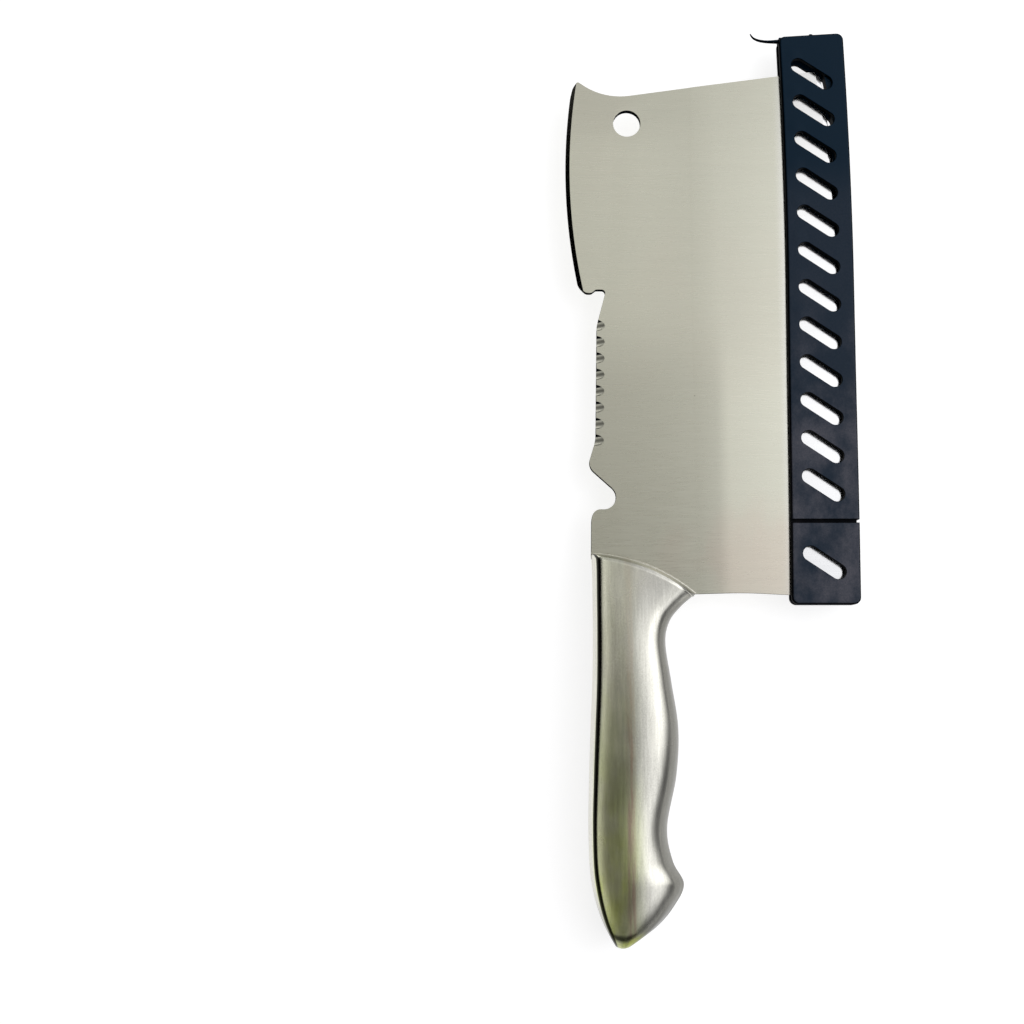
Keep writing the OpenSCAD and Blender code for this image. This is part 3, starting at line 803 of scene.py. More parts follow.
def slot_tree():
    """A row of sloping slots with round ends, cut right through the guard."""
    tree, given = new_node_tree(
        "slot_row", Count="Int", First="Vector", Pitch="Vector", Length="Float", Width="Float",
        Slope="Float", Depth="Float",
    )
    outline = add(
        tree, "GeometryNodeCurvePrimitiveQuadrilateral",
        {"Width": given["Length"], "Height": given["Width"]},
    )
    rounded = add(
        tree, "GeometryNodeFilletCurve",
        {"Curve": outline.outputs[0], "Count": 12, "Radius": times(tree, given["Width"], 0.499),
         "Limit Radius": True},
        mode="POLY",
    )
    bottom, top = (vector(tree, Z=times(tree, given["Depth"], share)) for share in (-0.5, 0.5))
    way = add(tree, "GeometryNodeCurvePrimitiveLine", {"Start": bottom, "End": top})
    cutter = add(
        tree, "GeometryNodeCurveToMesh",
        {"Curve": way.outputs[0], "Profile Curve": rounded.outputs[0], "Fill Caps": True},
    )
    row = add(
        tree, "GeometryNodeMeshLine",
        {"Count": given["Count"], "Start Location": given["First"], "Offset": given["Pitch"]},
        mode="OFFSET",
    )
    return cut_row(tree, given, row, cutter, vector(tree, Z=given["Slope"]))


def bead_tree():
    """A round bead carried along an arc, with the faint ripples of a ground weld."""
    tree, given = new_node_tree(
        "weld_bead", Radius="Float", Start="Float", Sweep="Float", Leg="Float", Ripple="Float"
    )
    way = add(
        tree, "GeometryNodeCurveArc",
        {"Resolution": 160, "Radius": given["Radius"], "Start Angle": given["Start"],
         "Sweep Angle": given["Sweep"]},
    )
    section = add(
        tree, "GeometryNodeCurvePrimitiveCircle", {"Resolution": 20, "Radius": given["Leg"]}
    )
    bead = add(
        tree, "GeometryNodeCurveToMesh",
        {"Curve": way.outputs[0], "Profile Curve": section.outputs[0], "Fill Caps": True},
    )
    ripple = add(tree, "ShaderNodeTexNoise", {"Scale": 1600.0, "Detail": 1.0}).outputs["Fac"]
    lift = vector(tree, Z=times(tree, minus(tree, ripple, 0.5), given["Ripple"]))
    rippled = add(tree, "GeometryNodeSetPosition", {"Geometry": bead.outputs[0], "Offset": lift})
    return end_tree(tree, given, rippled.outputs[0])


# Blade

# Height of the cutting edge's lower end
HEEL_Y = -15.6 * MM
# Height of the horn's tip above the top edge
HORN_H = 7.6 * MM
# From the opener notch's upper lobe to the first scallop
SCALING_GAP = 9.6 * MM
# Where the scaling edge lies, past the spine's line, at its first and its last scallop
SCALING_X = (1.9 * MM, 2.6 * MM)
# Half the steel left at the rounded back's edge, and the steel left under a scallop
BACK_EDGE_Z = 0.25 * MM
SCALLOP_FLOOR = 0.2 * MM
# Half the length over which the flat stock eases into the taper, and its steps
TAPER_EASE = 5 * MM
TAPER_STEPS = 8
# Degrees from which edges stay sharp
BLADE_CREASE = 28


def joint_centre():
    handle = bpy.context.scene.chopper_handle
    return Vector((-handle.joint_lead, -math.sqrt(handle.joint_r**2 - handle.joint_lead**2)))


def joint_end():
    """The belly end of the joint between blade and handle."""
    scene = bpy.context.scene
    drop = scene.chopper_blade.heel_drop
    return Vector((circle_x(joint_centre(), scene.chopper_handle.joint_r, -drop), -drop))


def edge_taper():
    """How much each face falls towards the cutting edge, from the flat stock on."""
    b = bpy.context.scene.chopper_blade
    return (blade_thickness() - b.edge_bevel_t) / 2 / (b.width - b.edge_bevel - b.stock)


class BladeForm:
    """The lines that the plate's outline shares with its cutters."""

    def __init__(self):
        b = bpy.context.scene.chopper_blade
        self.sizes = b
        self.back_centre = Vector((b.back_r - b.back_reach, b.back_y))
        self.curve_centre = Vector((b.width - b.curve_r, b.curve_y))
        self.rise = math.tan(b.top_rise)
        self.toe_x = b.width
        for _ in range(20):
            self.toe_x = circle_x(self.curve_centre, b.curve_r, b.top + self.toe_x * self.rise)
        self.toe_y = b.top + self.toe_x * self.rise
        first_y = b.opener_y + b.opener_h + SCALING_GAP
        self.first_scallop = (SCALING_X[0], first_y)
        self.last_scallop = (SCALING_X[1], first_y + b.scallop_pitch * (b.scallops - 1))

    def back_angle(self, y):
        return math.pi - math.asin((y - self.sizes.back_y) / self.sizes.back_r)

    def curve_angle(self, y):
        return math.asin((y - self.sizes.curve_y) / self.sizes.curve_r)

    def outline(self):
        """From the joint up the back, over the top, down the cutting edge and round the tang."""
        b, h, centre = self.sizes, bpy.context.scene.chopper_handle, joint_centre()
        under_r = h.joint_r - h.wall
        under_end = centre + (joint_end() - centre) * under_r / h.joint_r

        def under(x):
            return centre.y + math.sqrt(under_r**2 - (x - centre.x) ** 2)

        tang_low, tang_high = h.tang_mid - h.tang_w / 2, h.tang_mid + h.tang_w / 2
        return rounded_outline([
            (0, 0, 0),
            (0.15 * MM, b.opener_y - 4.4 * MM, 10 * MM),
            (1 * MM, b.opener_y, 3.2 * MM),
            (b.opener_depth, b.opener_y - 2 * MM, 4.4 * MM),
            (-1.05 * MM, b.opener_y + b.opener_h, 4.5 * MM),
            (*self.first_scallop, 15 * MM),
            (*self.last_scallop, 15 * MM),
            (b.step_in, b.step_y, 1.3 * MM),
            (b.step_in - 3.8 * MM, b.step_y, 1 * MM),
            (0.7 * MM, b.step_y - 1.25 * MM, 1.6 * MM),
            (-1.3 * MM, b.step_y - 1.25 * MM, 2.2 * MM),
            (-4.25 * MM, b.step_y + 1.5 * MM, 4 * MM),
            *sharp(arc_points(self.back_centre, b.back_r, self.back_angle(b.step_y + 3.2 * MM),
                              self.back_angle(b.top + 1.6 * MM), CURVE_STEPS)),
            (-5.6 * MM, b.top + 5.4 * MM, 5 * MM),
            (-3.8 * MM, b.top + HORN_H, 0.7 * MM),
            (6 * MM, b.top + 6 * MM * self.rise, 24 * MM),
            (self.toe_x, self.toe_y, b.toe_round),
            *sharp(arc_points(self.curve_centre, b.curve_r,
                              self.curve_angle(self.toe_y - 2 * b.toe_round), 0, CURVE_STEPS)),
            (b.width, HEEL_Y, 1 * MM),
            (54 * MM, -13.7 * MM, 150 * MM),
            (*joint_end(), 0),
            (*under_end, 0),
            (tang_high, under(tang_high), 0),
            (tang_high, -h.tang, 2 * MM),
            (tang_low, -h.tang, 2 * MM),
            (tang_low, under(tang_low), 0),
            (0, under(0), 0),
        ])


def taper_block(form):
    """A block that the plate is cut down to, with flat faces that taper to the cutting edge."""
    b, t, slope = form.sizes, blade_thickness(), edge_taper()
    faces = [(-b.back_reach - OVERRUN, t / 2)]
    for i in range(TAPER_STEPS + 1):
        x = mix(b.stock - TAPER_EASE, b.stock + TAPER_EASE, i / TAPER_STEPS)
        fall = slope * (x - b.stock + TAPER_EASE) ** 2 / (4 * TAPER_EASE)
        faces.append((x, t / 2 - fall))
    faces += [(b.width - b.edge_bevel, b.edge_bevel_t / 2), (b.width + 0.01 * MM, b.edge_t / 2)]
    section = faces + [(x, -z) for x, z in reversed(faces)]
    tang = bpy.context.scene.chopper_handle.tang
    return along_y("taper", section, [-tang - OVERRUN, form.toe_y + OVERRUN])


def cut_bevels(plate, form):
    """Grinds the bevels along the rounded back and the curved edge, on both sides."""
    b, t = form.sizes, blade_thickness()

    def section(r, w, z0, z1, side):
        foot, head = (r - w, side * z0), (r + w, side * (2 * z1 - z0))
        return [foot, head, (r + w, side * t), (r - w, side * t)]

    for side in (1, -1):
        back = round_centre(
            "back_bevel", section(b.back_r, b.back_bevel, t / 2, BACK_EDGE_Z, side),
            form.back_centre, form.back_angle(b.step_y - OVERRUN),
            form.back_angle(b.top + HORN_H + OVERRUN), 2 * CURVE_STEPS,
        )
        join_solids(plate, back, "DIFFERENCE")
        edge = round_centre(
            "curve_bevel", section(b.curve_r, b.edge_bevel, b.edge_bevel_t / 2, b.edge_t / 2, side),
            form.curve_centre, 0, form.curve_angle(form.toe_y + OVERRUN), CURVE_STEPS,
        )
        join_solids(plate, edge, "DIFFERENCE")


def build_blade():
    form = BladeForm()
    b, t = form.sizes, blade_thickness()
    plate = prism("knife_blade", form.outline(), -t / 2, t / 2)
    join_solids(plate, taper_block(form), "INTERSECT")
    cut_bevels(plate, form)
    hole = prism("hole", circle((b.hole_x, b.hole_y), b.hole / 2, 96), -t, t)
    join_solids(plate, hole, "DIFFERENCE")

    slant = math.pi / 2 - math.atan2(t - SCALLOP_FLOOR, b.scallop_reach)
    aside = Vector((
        -b.scallop_r * math.cos(slant), 0, SCALLOP_FLOOR - t / 2 + b.scallop_r * math.sin(slant)
    ))
    run_tree(plate, scallop_tree(), {
        "Count": b.scallops,
        "First": aside + Vector((*form.first_scallop, 0)),
        "Last": aside + Vector((*form.last_scallop, 0)),
        "Radius": b.scallop_r, "Slant": slant, "Reach": 4 * OVERRUN,
    })
    clean_flats(plate)
    round_rims(plate, t / 2, b.edge_break, 2)
    return smooth(plate, BLADE_CREASE)


# Handle

# The spine's and the belly's line, from the joint to the butt: shares of the width and the length
SPINE_SHARES = [
    (0, 0), (0.01, 0.052), (0.013, 0.12), (0.013, 0.222), (0.004, 0.333), (-0.02, 0.452),
    (-0.04, 0.57), (-0.052, 0.689), (-0.045, 0.785), (-0.019, 0.844), (0.039, 0.9), (0.123, 0.95),
    (0.235, 0.995),
]
BELLY_SHARES = [
    (1.01, 0.139), (0.88, 0.178), (0.834, 0.233), (0.895, 0.333), (0.965, 0.452), (0.936, 0.57),
    (0.824, 0.7), (0.88, 0.785), (1, 0.843), (0.88, 0.9), (0.685, 0.95), (0.4, 0.995),
]
# How full the handle is along the same way
CREST_SHARES = [0.8, 0.83, 0.87, 0.92, 0.97, 1, 1, 0.97, 0.95, 0.96, 0.94, 0.88, 0.8]
# The shell's section, from spine to belly: place across, share of the height
SECTION_SHARES = [
    (0, 0), (0.008, 0.36), (0.019, 0.6), (0.032, 0.73), (0.046, 0.805), (0.064, 0.852),
    (0.09, 0.89), (0.13, 0.923), (0.185, 0.952), (0.26, 0.979), (0.34, 0.994), (0.42, 1),
    (0.5, 0.988), (0.56, 0.967), (0.62, 0.934), (0.68, 0.89), (0.74, 0.838), (0.79, 0.78),
    (0.84, 0.703), (0.88, 0.615), (0.915, 0.5), (0.95, 0.345), (0.98, 0.16), (1, 0),
]
# Where the section is highest, and powers that make it fuller or leaner on the spine's and on the
# belly's side of that place, from the joint to the butt
CREST_PLACE = 0.42
SPINE_POWERS = [1.4, 1.3, 1.2, 1.08, 1, 1, 1, 1, 1]
BELLY_POWERS = [0.5, 0.6, 0.72, 0.85, 0.97, 1.1, 1.25, 1.35, 1.35]
# Shares of the length: the butt's rounded tip, its rounding in height, the hollow's end, and the
# stretch over which the joint's curve fades out
TIP_SHARE = 0.1
BUTT_ROUND_SHARE = 0.08
HOLLOW_END_SHARE = 0.96
FADE_SHARE = 0.25
# The power of the rounded ends' curve, where 2 is a circle
ROUND_POWER = 2.4
# Steps along a shell, across it, along a seam and round the butt's tip
SHELL_SECTIONS = 220
SECTION_POINTS = 72
SEAM_STEPS = 200
TIP_STEPS = 12
HANDLE_CREASE = 40
BEAD_CREASE = 50


class HandleForm:
    """The shape of the handle: t runs down from the joint, u from spine to belly."""

    def __init__(self):
        h = bpy.context.scene.chopper_handle
        self.sizes = h
        self.spine = [Vector((x * h.width, -y * h.reach)) for x, y in SPINE_SHARES]
        end = joint_end()
        self.belly = [end] + [Vector((x * h.width, -y * h.reach)) for x, y in BELLY_SHARES]
        self.bulge = h.joint_r - math.sqrt(h.joint_r**2 - (end.length / 2) ** 2)
        self.bulge_way = Vector((-end.y, end.x)).normalized()
        self.section = [Vector(s) for s in SECTION_SHARES]
        self.blade_t = blade_thickness()

    def part(self, reach):
        """The t that a length beside the joint covers."""
        return reach / ((self.spine[1] - self.spine[0]).length * (len(self.spine) - 1))

    def plan(self, t, u):
        """A place in plan, bulged to follow the joint's curve and round out the butt's tip."""
        fade = 0 if t >= FADE_SHARE else (1 - t / FADE_SHARE) ** 2
        across = mix(spline(self.spine, t), spline(self.belly, t), u)
        tip = max(0.0, 1 - (1 - t) / TIP_SHARE) ** 2
        bulge = self.bulge_way * self.bulge * fade - Vector((0, self.sizes.tip)) * tip
        return across + bulge * 4 * u * (1 - u)

    def across(self, t):
        return (self.plan(t, 1) - self.plan(t, 0)).length

    def rim(self, t):
        over_blade = t <= self.part(self.sizes.wall + 0.5 * MM)
        return self.blade_t / 2 if over_blade else self.sizes.seam / 2

    def rise(self, t, part):
        return 1 if t >= part else (1 - (1 - t / part) ** ROUND_POWER) ** (1 / ROUND_POWER)

    def swell(self, t, u):
        ends = self.rise(t, self.part(self.sizes.shoulder)) * self.rise(1 - t, BUTT_ROUND_SHARE)
        spot = spline(self.section, u)
        powers = SPINE_POWERS if spot.x < CREST_PLACE else BELLY_POWERS
        return ends * max(0.0, min(1.0, spot.y)) ** spline(powers, t)

    def crest(self, t):
        return spline(CREST_SHARES, t) * self.sizes.thickness / 2

    def outer(self, t, u):
        at = self.plan(t, spline(self.section, u).x)
        return (at.x, at.y, mix(self.rim(t), self.crest(t), self.swell(t, u)))

    def inner(self, t, u):
        wall = self.sizes.wall
        down = mix(self.part(wall), HOLLOW_END_SHARE, t)
        edge = wall / (spline(self.belly, down) - spline(self.spine, down)).length
        at = self.plan(down, mix(edge, 1 - edge, spline(self.section, u).x))
        return (at.x, at.y, mix(self.rim(down), self.crest(down) - wall, self.swell(t, u)))


def eased(i, n):
    return (1 - math.cos(math.pi * i / n)) / 2


def build_shell(name, side):
    """One pressed shell as a closed wall: an outer face, an inner face and the rims between."""
    form = HandleForm()
    n, m = SHELL_SECTIONS, SECTION_POINTS
    points = [form.outer(eased(i, n), eased(j, m)) for i in range(n + 1) for j in range(m + 1)]
    points += [form.inner(eased(i, n), eased(j, m)) for i in range(n + 1) for j in range(m + 1)]
    row = m + 1
    inner = (n + 1) * row
    faces = []
    for i in range(n):
        for j in range(m):
            a, b = i * row + j, (i + 1) * row + j
            faces += [(a, a + 1, b + 1, b), (inner + b, inner + b + 1, inner + a + 1, inner + a)]
    for j in range(m):
        a, b = j, n * row + j
        faces += [(inner + a, inner + a + 1, a + 1, a), (b, b + 1, inner + b + 1, inner + b)]
    for i in range(n):
        a, b = i * row, i * row + m
        faces += [(a, a + row, inner + a + row, inner + a),
                  (inner + b, inner + b + row, b + row, b)]
    shell = outward(new_object(name, [(x, y, side * z) for x, y, z in points], faces))
    return smooth(shell, HANDLE_CREASE)


def build_seam(name, u_out, u_side):
    """A ground weld strip between the shells, as deep as their wall.

    The belly's strip runs on round the butt's tip and ends at the spine's one."""
    form = HandleForm()
    h = form.sizes
    start = form.part(h.wall + 0.9 * MM)
    downs = [mix(start, 1, i / SEAM_STEPS) for i in range(SEAM_STEPS + 1)]
    edge = [form.plan(t, u_out) for t in downs]
    inside = [form.plan(t, u_out + u_side * h.wall / form.across(t)) for t in downs]
    if u_out == 1:
        far = h.wall / form.across(1)
        edge += [form.plan(1, mix(1, far, i / TIP_STEPS)) for i in range(1, TIP_STEPS + 1)]
        inside.pop()
    strip = prism(name, edge + inside[::-1], -h.seam / 2, h.seam / 2)
    return smooth(strip, HANDLE_CREASE)


def build_bead(name, side):
    """The bead between a shell and the blade, following the curved joint."""
    h = bpy.context.scene.chopper_handle
    centre, end = joint_centre(), joint_end()
    start = math.atan2(end.y - centre.y, end.x - centre.x)
    stop = math.atan2(-centre.y, -centre.x)
    bead = new_object(name, [], [])
    run_tree(bead, bead_tree(), {
        "Radius": h.joint_r, "Start": start, "Sweep": stop - start, "Leg": h.bead * 0.8,
        "Ripple": 0.12 * MM,
    })
    face_z = blade_thickness() / 2
    for v in bead.data.vertices:
        v.co.x += centre.x
        v.co.y += centre.y
        v.co.z = side * (max(v.co.z, 0) + face_z)
    return smooth(outward(bead), BEAD_CREASE)

# Edge guard

# How far the guard bows along its length, as shares from its lower to its upper end
BOW_SHARES = [0.06, 0.32, 0.51, 0.65, 0.84, 1, 0.9, 0.56, 0]
# How much narrower it gets at its lower and at its upper end
NARROWING = (0.25 * MM, -0.2 * MM)
# How far its middle sags along its length, and the share of that at the groove
SLOT_SAG = 0.65 * MM
GROOVE_SAG = 0.36
# Lengths of the stretches that the bow bends, and of those that the walls are made in
BOW_STEP = 7 * MM
WALL_STEP = 8 * MM
# From the mouth to the middle of the sink marks
SINK_INSET = 5.5 * MM
# Steps of the outer edges' large rounding, and the small rounding of the rims that are left
RIM_STEPS = 5
RIM_BREAK = 0.3 * MM
BREAK_STEPS = 3
# How far walls run into the plates that they join, and the end wall's distance from the mouth
BITE = 0.3 * MM
EDGE_WALL_BITE = 0.1 * MM
# The nub on the upper end: its radius, its middle below the end, and its distance from the faces
NUB_R, NUB_INSET, NUB_Z = 1 * MM, 0.7 * MM, 0.6 * MM
# The tongue's line past the mouth, as shares of its reach and its curl
TONGUE_SHARES = [(0, 0), (-0.4, 0), (-0.68, 0.14), (-0.87, 0.42), (-0.965, 0.78), (-1, 1)]
TONGUE_STEPS = 48
# Its thickness as shares: at the root, at the tip, the root's swelling, and how far that reaches
TONGUE_ROOT_SHARE, TONGUE_TIP_SHARE = 0.85, 0.3
TONGUE_SWELL, TONGUE_SWELL_END = 1.3, 0.4
GUARD_CREASE = 35


def guard_frame():
    """Sizes of the guard that several of its pieces share."""
    b, g = bpy.context.scene.chopper_blade, bpy.context.scene.chopper_guard
    x1 = b.width + g.edge_gap + g.web
    y0 = HEEL_Y - g.heel_cover
    return {
        "x0": x1 - g.width, "x1": x1, "y0": y0, "y1": y0 + g.reach,
        "plate_z": g.thickness / 2 - g.wall, "snap_y": y0 + g.snap_l,
        "wall_y": y0 + g.reach - g.end_inset - g.tongue_t,
    }


def bow_guard(obj):
    """Cuts a straight guard piece into short stretches and bows it towards its closed side."""
    f, g = guard_frame(), bpy.context.scene.chopper_guard
    with edited(obj) as bm:
        low, high = min(v.co.y for v in bm.verts), max(v.co.y for v in bm.verts)
        cuts = math.ceil((high - low) / BOW_STEP)
        for i in range(1, cuts):
            bmesh.ops.bisect_plane(
                bm, geom=bm.verts[:] + bm.edges[:] + bm.faces[:],
                plane_co=(0, mix(low, high, i / cuts), 0), plane_no=(0, 1, 0), dist=0.001 * MM,
            )
        for v in bm.verts:
            share = min(1.0, max(0.0, (v.co.y - f["y0"]) / g.reach))
            across = (f["x1"] - v.co.x) / g.width
            v.co.x += g.bow * spline(BOW_SHARES, share) - across * mix(*NARROWING, share)
            v.co.y -= SLOT_SAG * (4 * share * (1 - share)) ** 1.5
    return obj


def wall_places(y0, y1):
    """Places from y0 to y1 that cut a wall into short stretches."""
    steps = max(2, round((y1 - y0) / WALL_STEP))
    return [mix(y0, y1, i / steps) for i in range(steps + 1)]


def guard_block(name, y0, y1, low_r, high_r, slope):
    """A block with round corners in plan, its long walls in steps along its length."""
    f, g = guard_frame(), bpy.context.scene.chopper_guard
    x0, x1 = f["x0"], f["x1"]
    steps = len(wall_places(y0, y1)) - 1
    corners = rounded_outline([
        (x0, y0, low_r), (x1, y0, low_r), (x1, y1, high_r), (x0, y1 - slope, high_r),
    ])
    outline = []
    for i, p in enumerate(corners):
        outline.append(p)
        after = corners[(i + 1) % len(corners)]
        if abs(after.y - p.y) > (y1 - y0) / 2:
            outline += [mix(p, after, k / steps) for k in range(1, steps)]
    return prism(name, outline, -g.thickness / 2, g.thickness / 2)


def round_rims(obj, height, width, segments, sharp_y=None):
    """Rounds the edges between the flat faces at plus and minus a height and the walls beside them.

    Edges that lie along sharp_y are left out."""
    with edited(obj) as bm:
        rims = [e for e in bm.edges
                if all(abs(abs(v.co.z) - height) < 0.001 * MM for v in e.verts)
                and sorted(abs(f.normal.z) > 0.5 for f in e.link_faces) == [False, True]
                and (sharp_y is None or any(abs(v.co.y - sharp_y) > 0.01 * MM for v in e.verts))]
        bmesh.ops.bevel(bm, geom=rims, offset=width, segments=segments, profile=0.5,
                        affect="EDGES", clamp_overlap=False)
    return obj


def channel_cutter(y0, y1):
    """The inside of the channel: a narrow mouth between the lips, then the full gap."""
    f, g = guard_frame(), bpy.context.scene.chopper_guard
    x0, inside = f["x0"], f["x1"] - g.web
    from_stock = x0 - bpy.context.scene.chopper_blade.stock
    lip_z = blade_thickness() / 2 - edge_taper() * from_stock + g.lip_gap
    upper = [
        (x0 - OVERRUN, lip_z + OVERRUN / 2), (x0 - 0.5 * MM, lip_z + 1 * MM),
        (x0 + 0.6 * MM, lip_z), (x0 + g.lip / 2, lip_z), (x0 + g.lip, f["plate_z"]),
        (inside - 0.4 * MM, f["plate_z"]), (inside, f["plate_z"] - 0.4 * MM),
    ]
    section = upper + [(x, -z) for x, z in reversed(upper)]
    return along_y("channel", section, wall_places(y0, y1))


def cut_slots(obj, first_y, count):
    f, g = guard_frame(), bpy.context.scene.chopper_guard
    return run_tree(obj, slot_tree(), {
        "Count": count, "First": Vector(((f["x0"] + f["x1"]) / 2 - g.slot_shift, first_y, 0)),
        "Pitch": Vector((0, g.slot_pitch, 0)), "Length": g.slot_l, "Width": g.slot_w,
        "Slope": -g.slot_tilt, "Depth": g.thickness + OVERRUN,
    })


def end_tongue():
    """The end wall between the plates, running on past the mouth as a thin curled tongue."""
    f, g = guard_frame(), bpy.context.scene.chopper_guard
    wall = block("end_wall", f["x0"] + BITE, f["x1"] - g.web / 2, f["wall_y"],
                 f["wall_y"] + g.tongue_t, f["plate_z"] + BITE)
    root = Vector((f["x0"], f["wall_y"] + g.tongue_t / 2))
    middle = [root + Vector((3 * MM, 0))]
    middle += [root + Vector((x * g.tongue_reach, y * g.tongue_curl)) for x, y in TONGUE_SHARES]
    n = TONGUE_STEPS
    path = [spline(middle, i / n) for i in range(n + 1)]

    def put(i):
        way = (path[min(i + 1, n)] - path[max(i - 1, 0)]).normalized()
        side = Vector((way.y, -way.x))
        swell = TONGUE_SWELL * max(0, 1 - i / n / TONGUE_SWELL_END) ** 2
        thin = mix(TONGUE_ROOT_SHARE, TONGUE_TIP_SHARE, i / n) + swell
        wide = mix(1, TONGUE_TIP_SHARE, (i / n) ** 2)

        def to_space(p):
            spot = path[i] + side * p[0] * thin * g.tongue_t / 2
            return (spot.x, spot.y, p[1] * wide * g.tongue_w / 2)
        return to_space

    tongue = ring_along("tongue", circle((0, 0), 1, 20), [put(i) for i in range(n + 1)])
    return join_solids(wall, tongue, "UNION")


def edge_wall():
    """The closed side's inner wall, which follows the curved part of the cutting edge."""
    b, g, f = bpy.context.scene.chopper_blade, bpy.context.scene.chopper_guard, guard_frame()
    r = b.curve_r + g.edge_gap
    web_x, top = f["x1"] - g.web / 2, f["wall_y"] + g.tongue_t / 2
    curve = arc_points(Vector((b.width - b.curve_r, b.curve_y)), r, 0,
                       math.asin((top - b.curve_y) / r), CURVE_STEPS)
    half = f["plate_z"] + EDGE_WALL_BITE
    return prism("edge_wall", [(web_x, top), (web_x, b.curve_y), *curve], -half, half)


def finish_guard(body, cut_y):
    """Breaks the rims, apart from those at the groove, and bows the piece."""
    clean_flats(body)
    g = bpy.context.scene.chopper_guard
    round_rims(body, g.thickness / 2, RIM_BREAK, BREAK_STEPS, cut_y)
    return smooth(bow_guard(body), GUARD_CREASE)


def build_guard_main():
    f, g = guard_frame(), bpy.context.scene.chopper_guard
    y0, y1 = f["snap_y"] + g.groove_w / 2, f["y1"]
    body = guard_block("guard_main", y0, y1, 0, g.corner_r, g.end_drop)
    round_rims(body, g.thickness / 2, g.rim_r, RIM_STEPS, y0)
    neck = block("neck", f["x0"], f["x1"] - g.groove_d, y0 - g.groove_w, y0 + g.groove_w,
                 g.thickness / 2 - g.groove_d)
    join_solids(body, neck, "UNION")
    nub_centre = ((f["x0"] + f["x1"]) / 2, y1 - g.end_drop / 2 - NUB_INSET)
    nub = prism("nub", circle(nub_centre, NUB_R, 24), NUB_Z, g.thickness / 2 - NUB_Z)
    join_solids(body, nub, "UNION")
    join_solids(body, channel_cutter(y0 - OVERRUN, y1 + OVERRUN), "DIFFERENCE")
    cut_slots(body, f["y0"] + g.first_slot + 2 * g.slot_pitch, g.slots)
    join_solids(body, edge_wall(), "UNION")
    join_solids(body, end_tongue(), "UNION")
    return finish_guard(body, y0)


def build_guard_end():
    f, g = guard_frame(), bpy.context.scene.chopper_guard
    y1 = f["snap_y"] - g.groove_w / 2
    body = guard_block("guard_snap_end", f["y0"], y1, g.corner_r, 0, 0)
    round_rims(body, g.thickness / 2, g.rim_r, RIM_STEPS, y1)
    join_solids(body, channel_cutter(f["y0"] - OVERRUN, y1 + OVERRUN), "DIFFERENCE")
    cut_slots(body, f["y0"] + g.first_slot, 1)
    return finish_guard(body, y1)


# Stage

# The camera stands where the photo's did: focal length and sensor in millimetres
CAMERA_LENS, CAMERA_SENSOR = 47.46, 36
CAMERA_PLACE = (-71.0 * MM, -74.75 * MM, 486.76 * MM)
CAMERA_AIM = (-71.0 * MM, -14.9 * MM, 10.5 * MM)
# A soft window on the right: its place, width and height in metres, and watts
WINDOW_PLACE, WINDOW_SIZE, WINDOW_WATTS = (0.75, 0.10, 0.60), (0.5, 0.9), 1.2
# Half the floor's side, in metres, and the brightness that it shows beyond what lights it
FLOOR_HALF = 12
FLOOR_GLOW = 0.78
TENT_R = 3.0
# Brightness of the light tent from its left foot to its right one: place across, level
TENT_ACROSS = [
    (-0.86, 0.0), (-0.60, 0.0), (-0.50, 0.9), (-0.40, 0.95), (-0.26, 0.75), (0.0, 0.88),
    (0.07, 0.87), (0.095, 0.82), (0.12, 1.0), (0.15, 1.4), (0.18, 1.3), (0.20, 1.35),
    (0.235, 1.6), (0.60, 1.55), (0.80, 1.3), (0.90, 0.25), (0.97, 0.12),
]
# Its brightness from below the butt to above the toe: place along, share
TENT_ALONG = [
    (-0.72, 0.04), (-0.42, 1.0), (-0.05, 1.0), (0.03, 0.8), (0.065, 0.94), (0.12, 1.06),
    (0.25, 1.08), (0.33, 1.18), (0.37, 1.12), (0.41, 1.02), (0.56, 0.80),
]
# Its darkening round the place behind the camera: distance, share that is left
TENT_BEHIND = [(0.03, 0.08), (0.12, 0.13), (0.23, 0.42), (0.28, 0.65), (0.40, 0.79), (0.60, 1.0)]
# The way to that place from the tent's middle, and how far its bands lean along the knife
DARK_WAY = (0.03, -0.20, 0.97)
TENT_LEAN = 0.25
# Tints of the tent: its dark part, its bright part, and its right side
DARK_TINT, BRIGHT_TINT, RIGHT_TINT = (1.0, 0.94, 0.76), (1.0, 1.0, 1.0), (0.985, 0.99, 1.03)


def aim(obj, spot):
    obj.rotation_euler = (Vector(spot) - obj.location).to_track_quat("-Z", "Y").to_euler()


def build_camera():
    data = bpy.data.cameras.new("camera")
    data.lens, data.sensor_width = CAMERA_LENS, CAMERA_SENSOR
    data.clip_start, data.clip_end = 0.01, 50
    camera = in_scene("camera", data)
    camera.location = CAMERA_PLACE
    aim(camera, CAMERA_AIM)
    bpy.context.scene.camera = camera


def build_floor():
    """A plain pale floor, which camera, mirror and glass rays see brighter than it is lit."""
    a = FLOOR_HALF
    floor = new_object("floor", [(-a, -a, 0), (a, -a, 0), (a, a, 0), (-a, a, 0)], [(0, 1, 2, 3)])
    made, tree, shader = new_material("pale_floor")
    rays = tree.nodes.new("ShaderNodeLightPath").outputs
    seen = highest(tree, rays["Is Camera Ray"], rays["Is Transmission Ray"])
    seen = highest(tree, seen, rays["Is Glossy Ray"])
    feed(tree, shader, {
        "Base Color": (*bpy.context.scene.chopper_finish.floor, 1),
        "Roughness": 0.9,
        "Specular IOR Level": 0.0,
        "Emission Color": (1, 1, 1, 1),
        "Emission Strength": times(tree, seen, FLOOR_GLOW),
    })
    floor.data.materials.append(made)


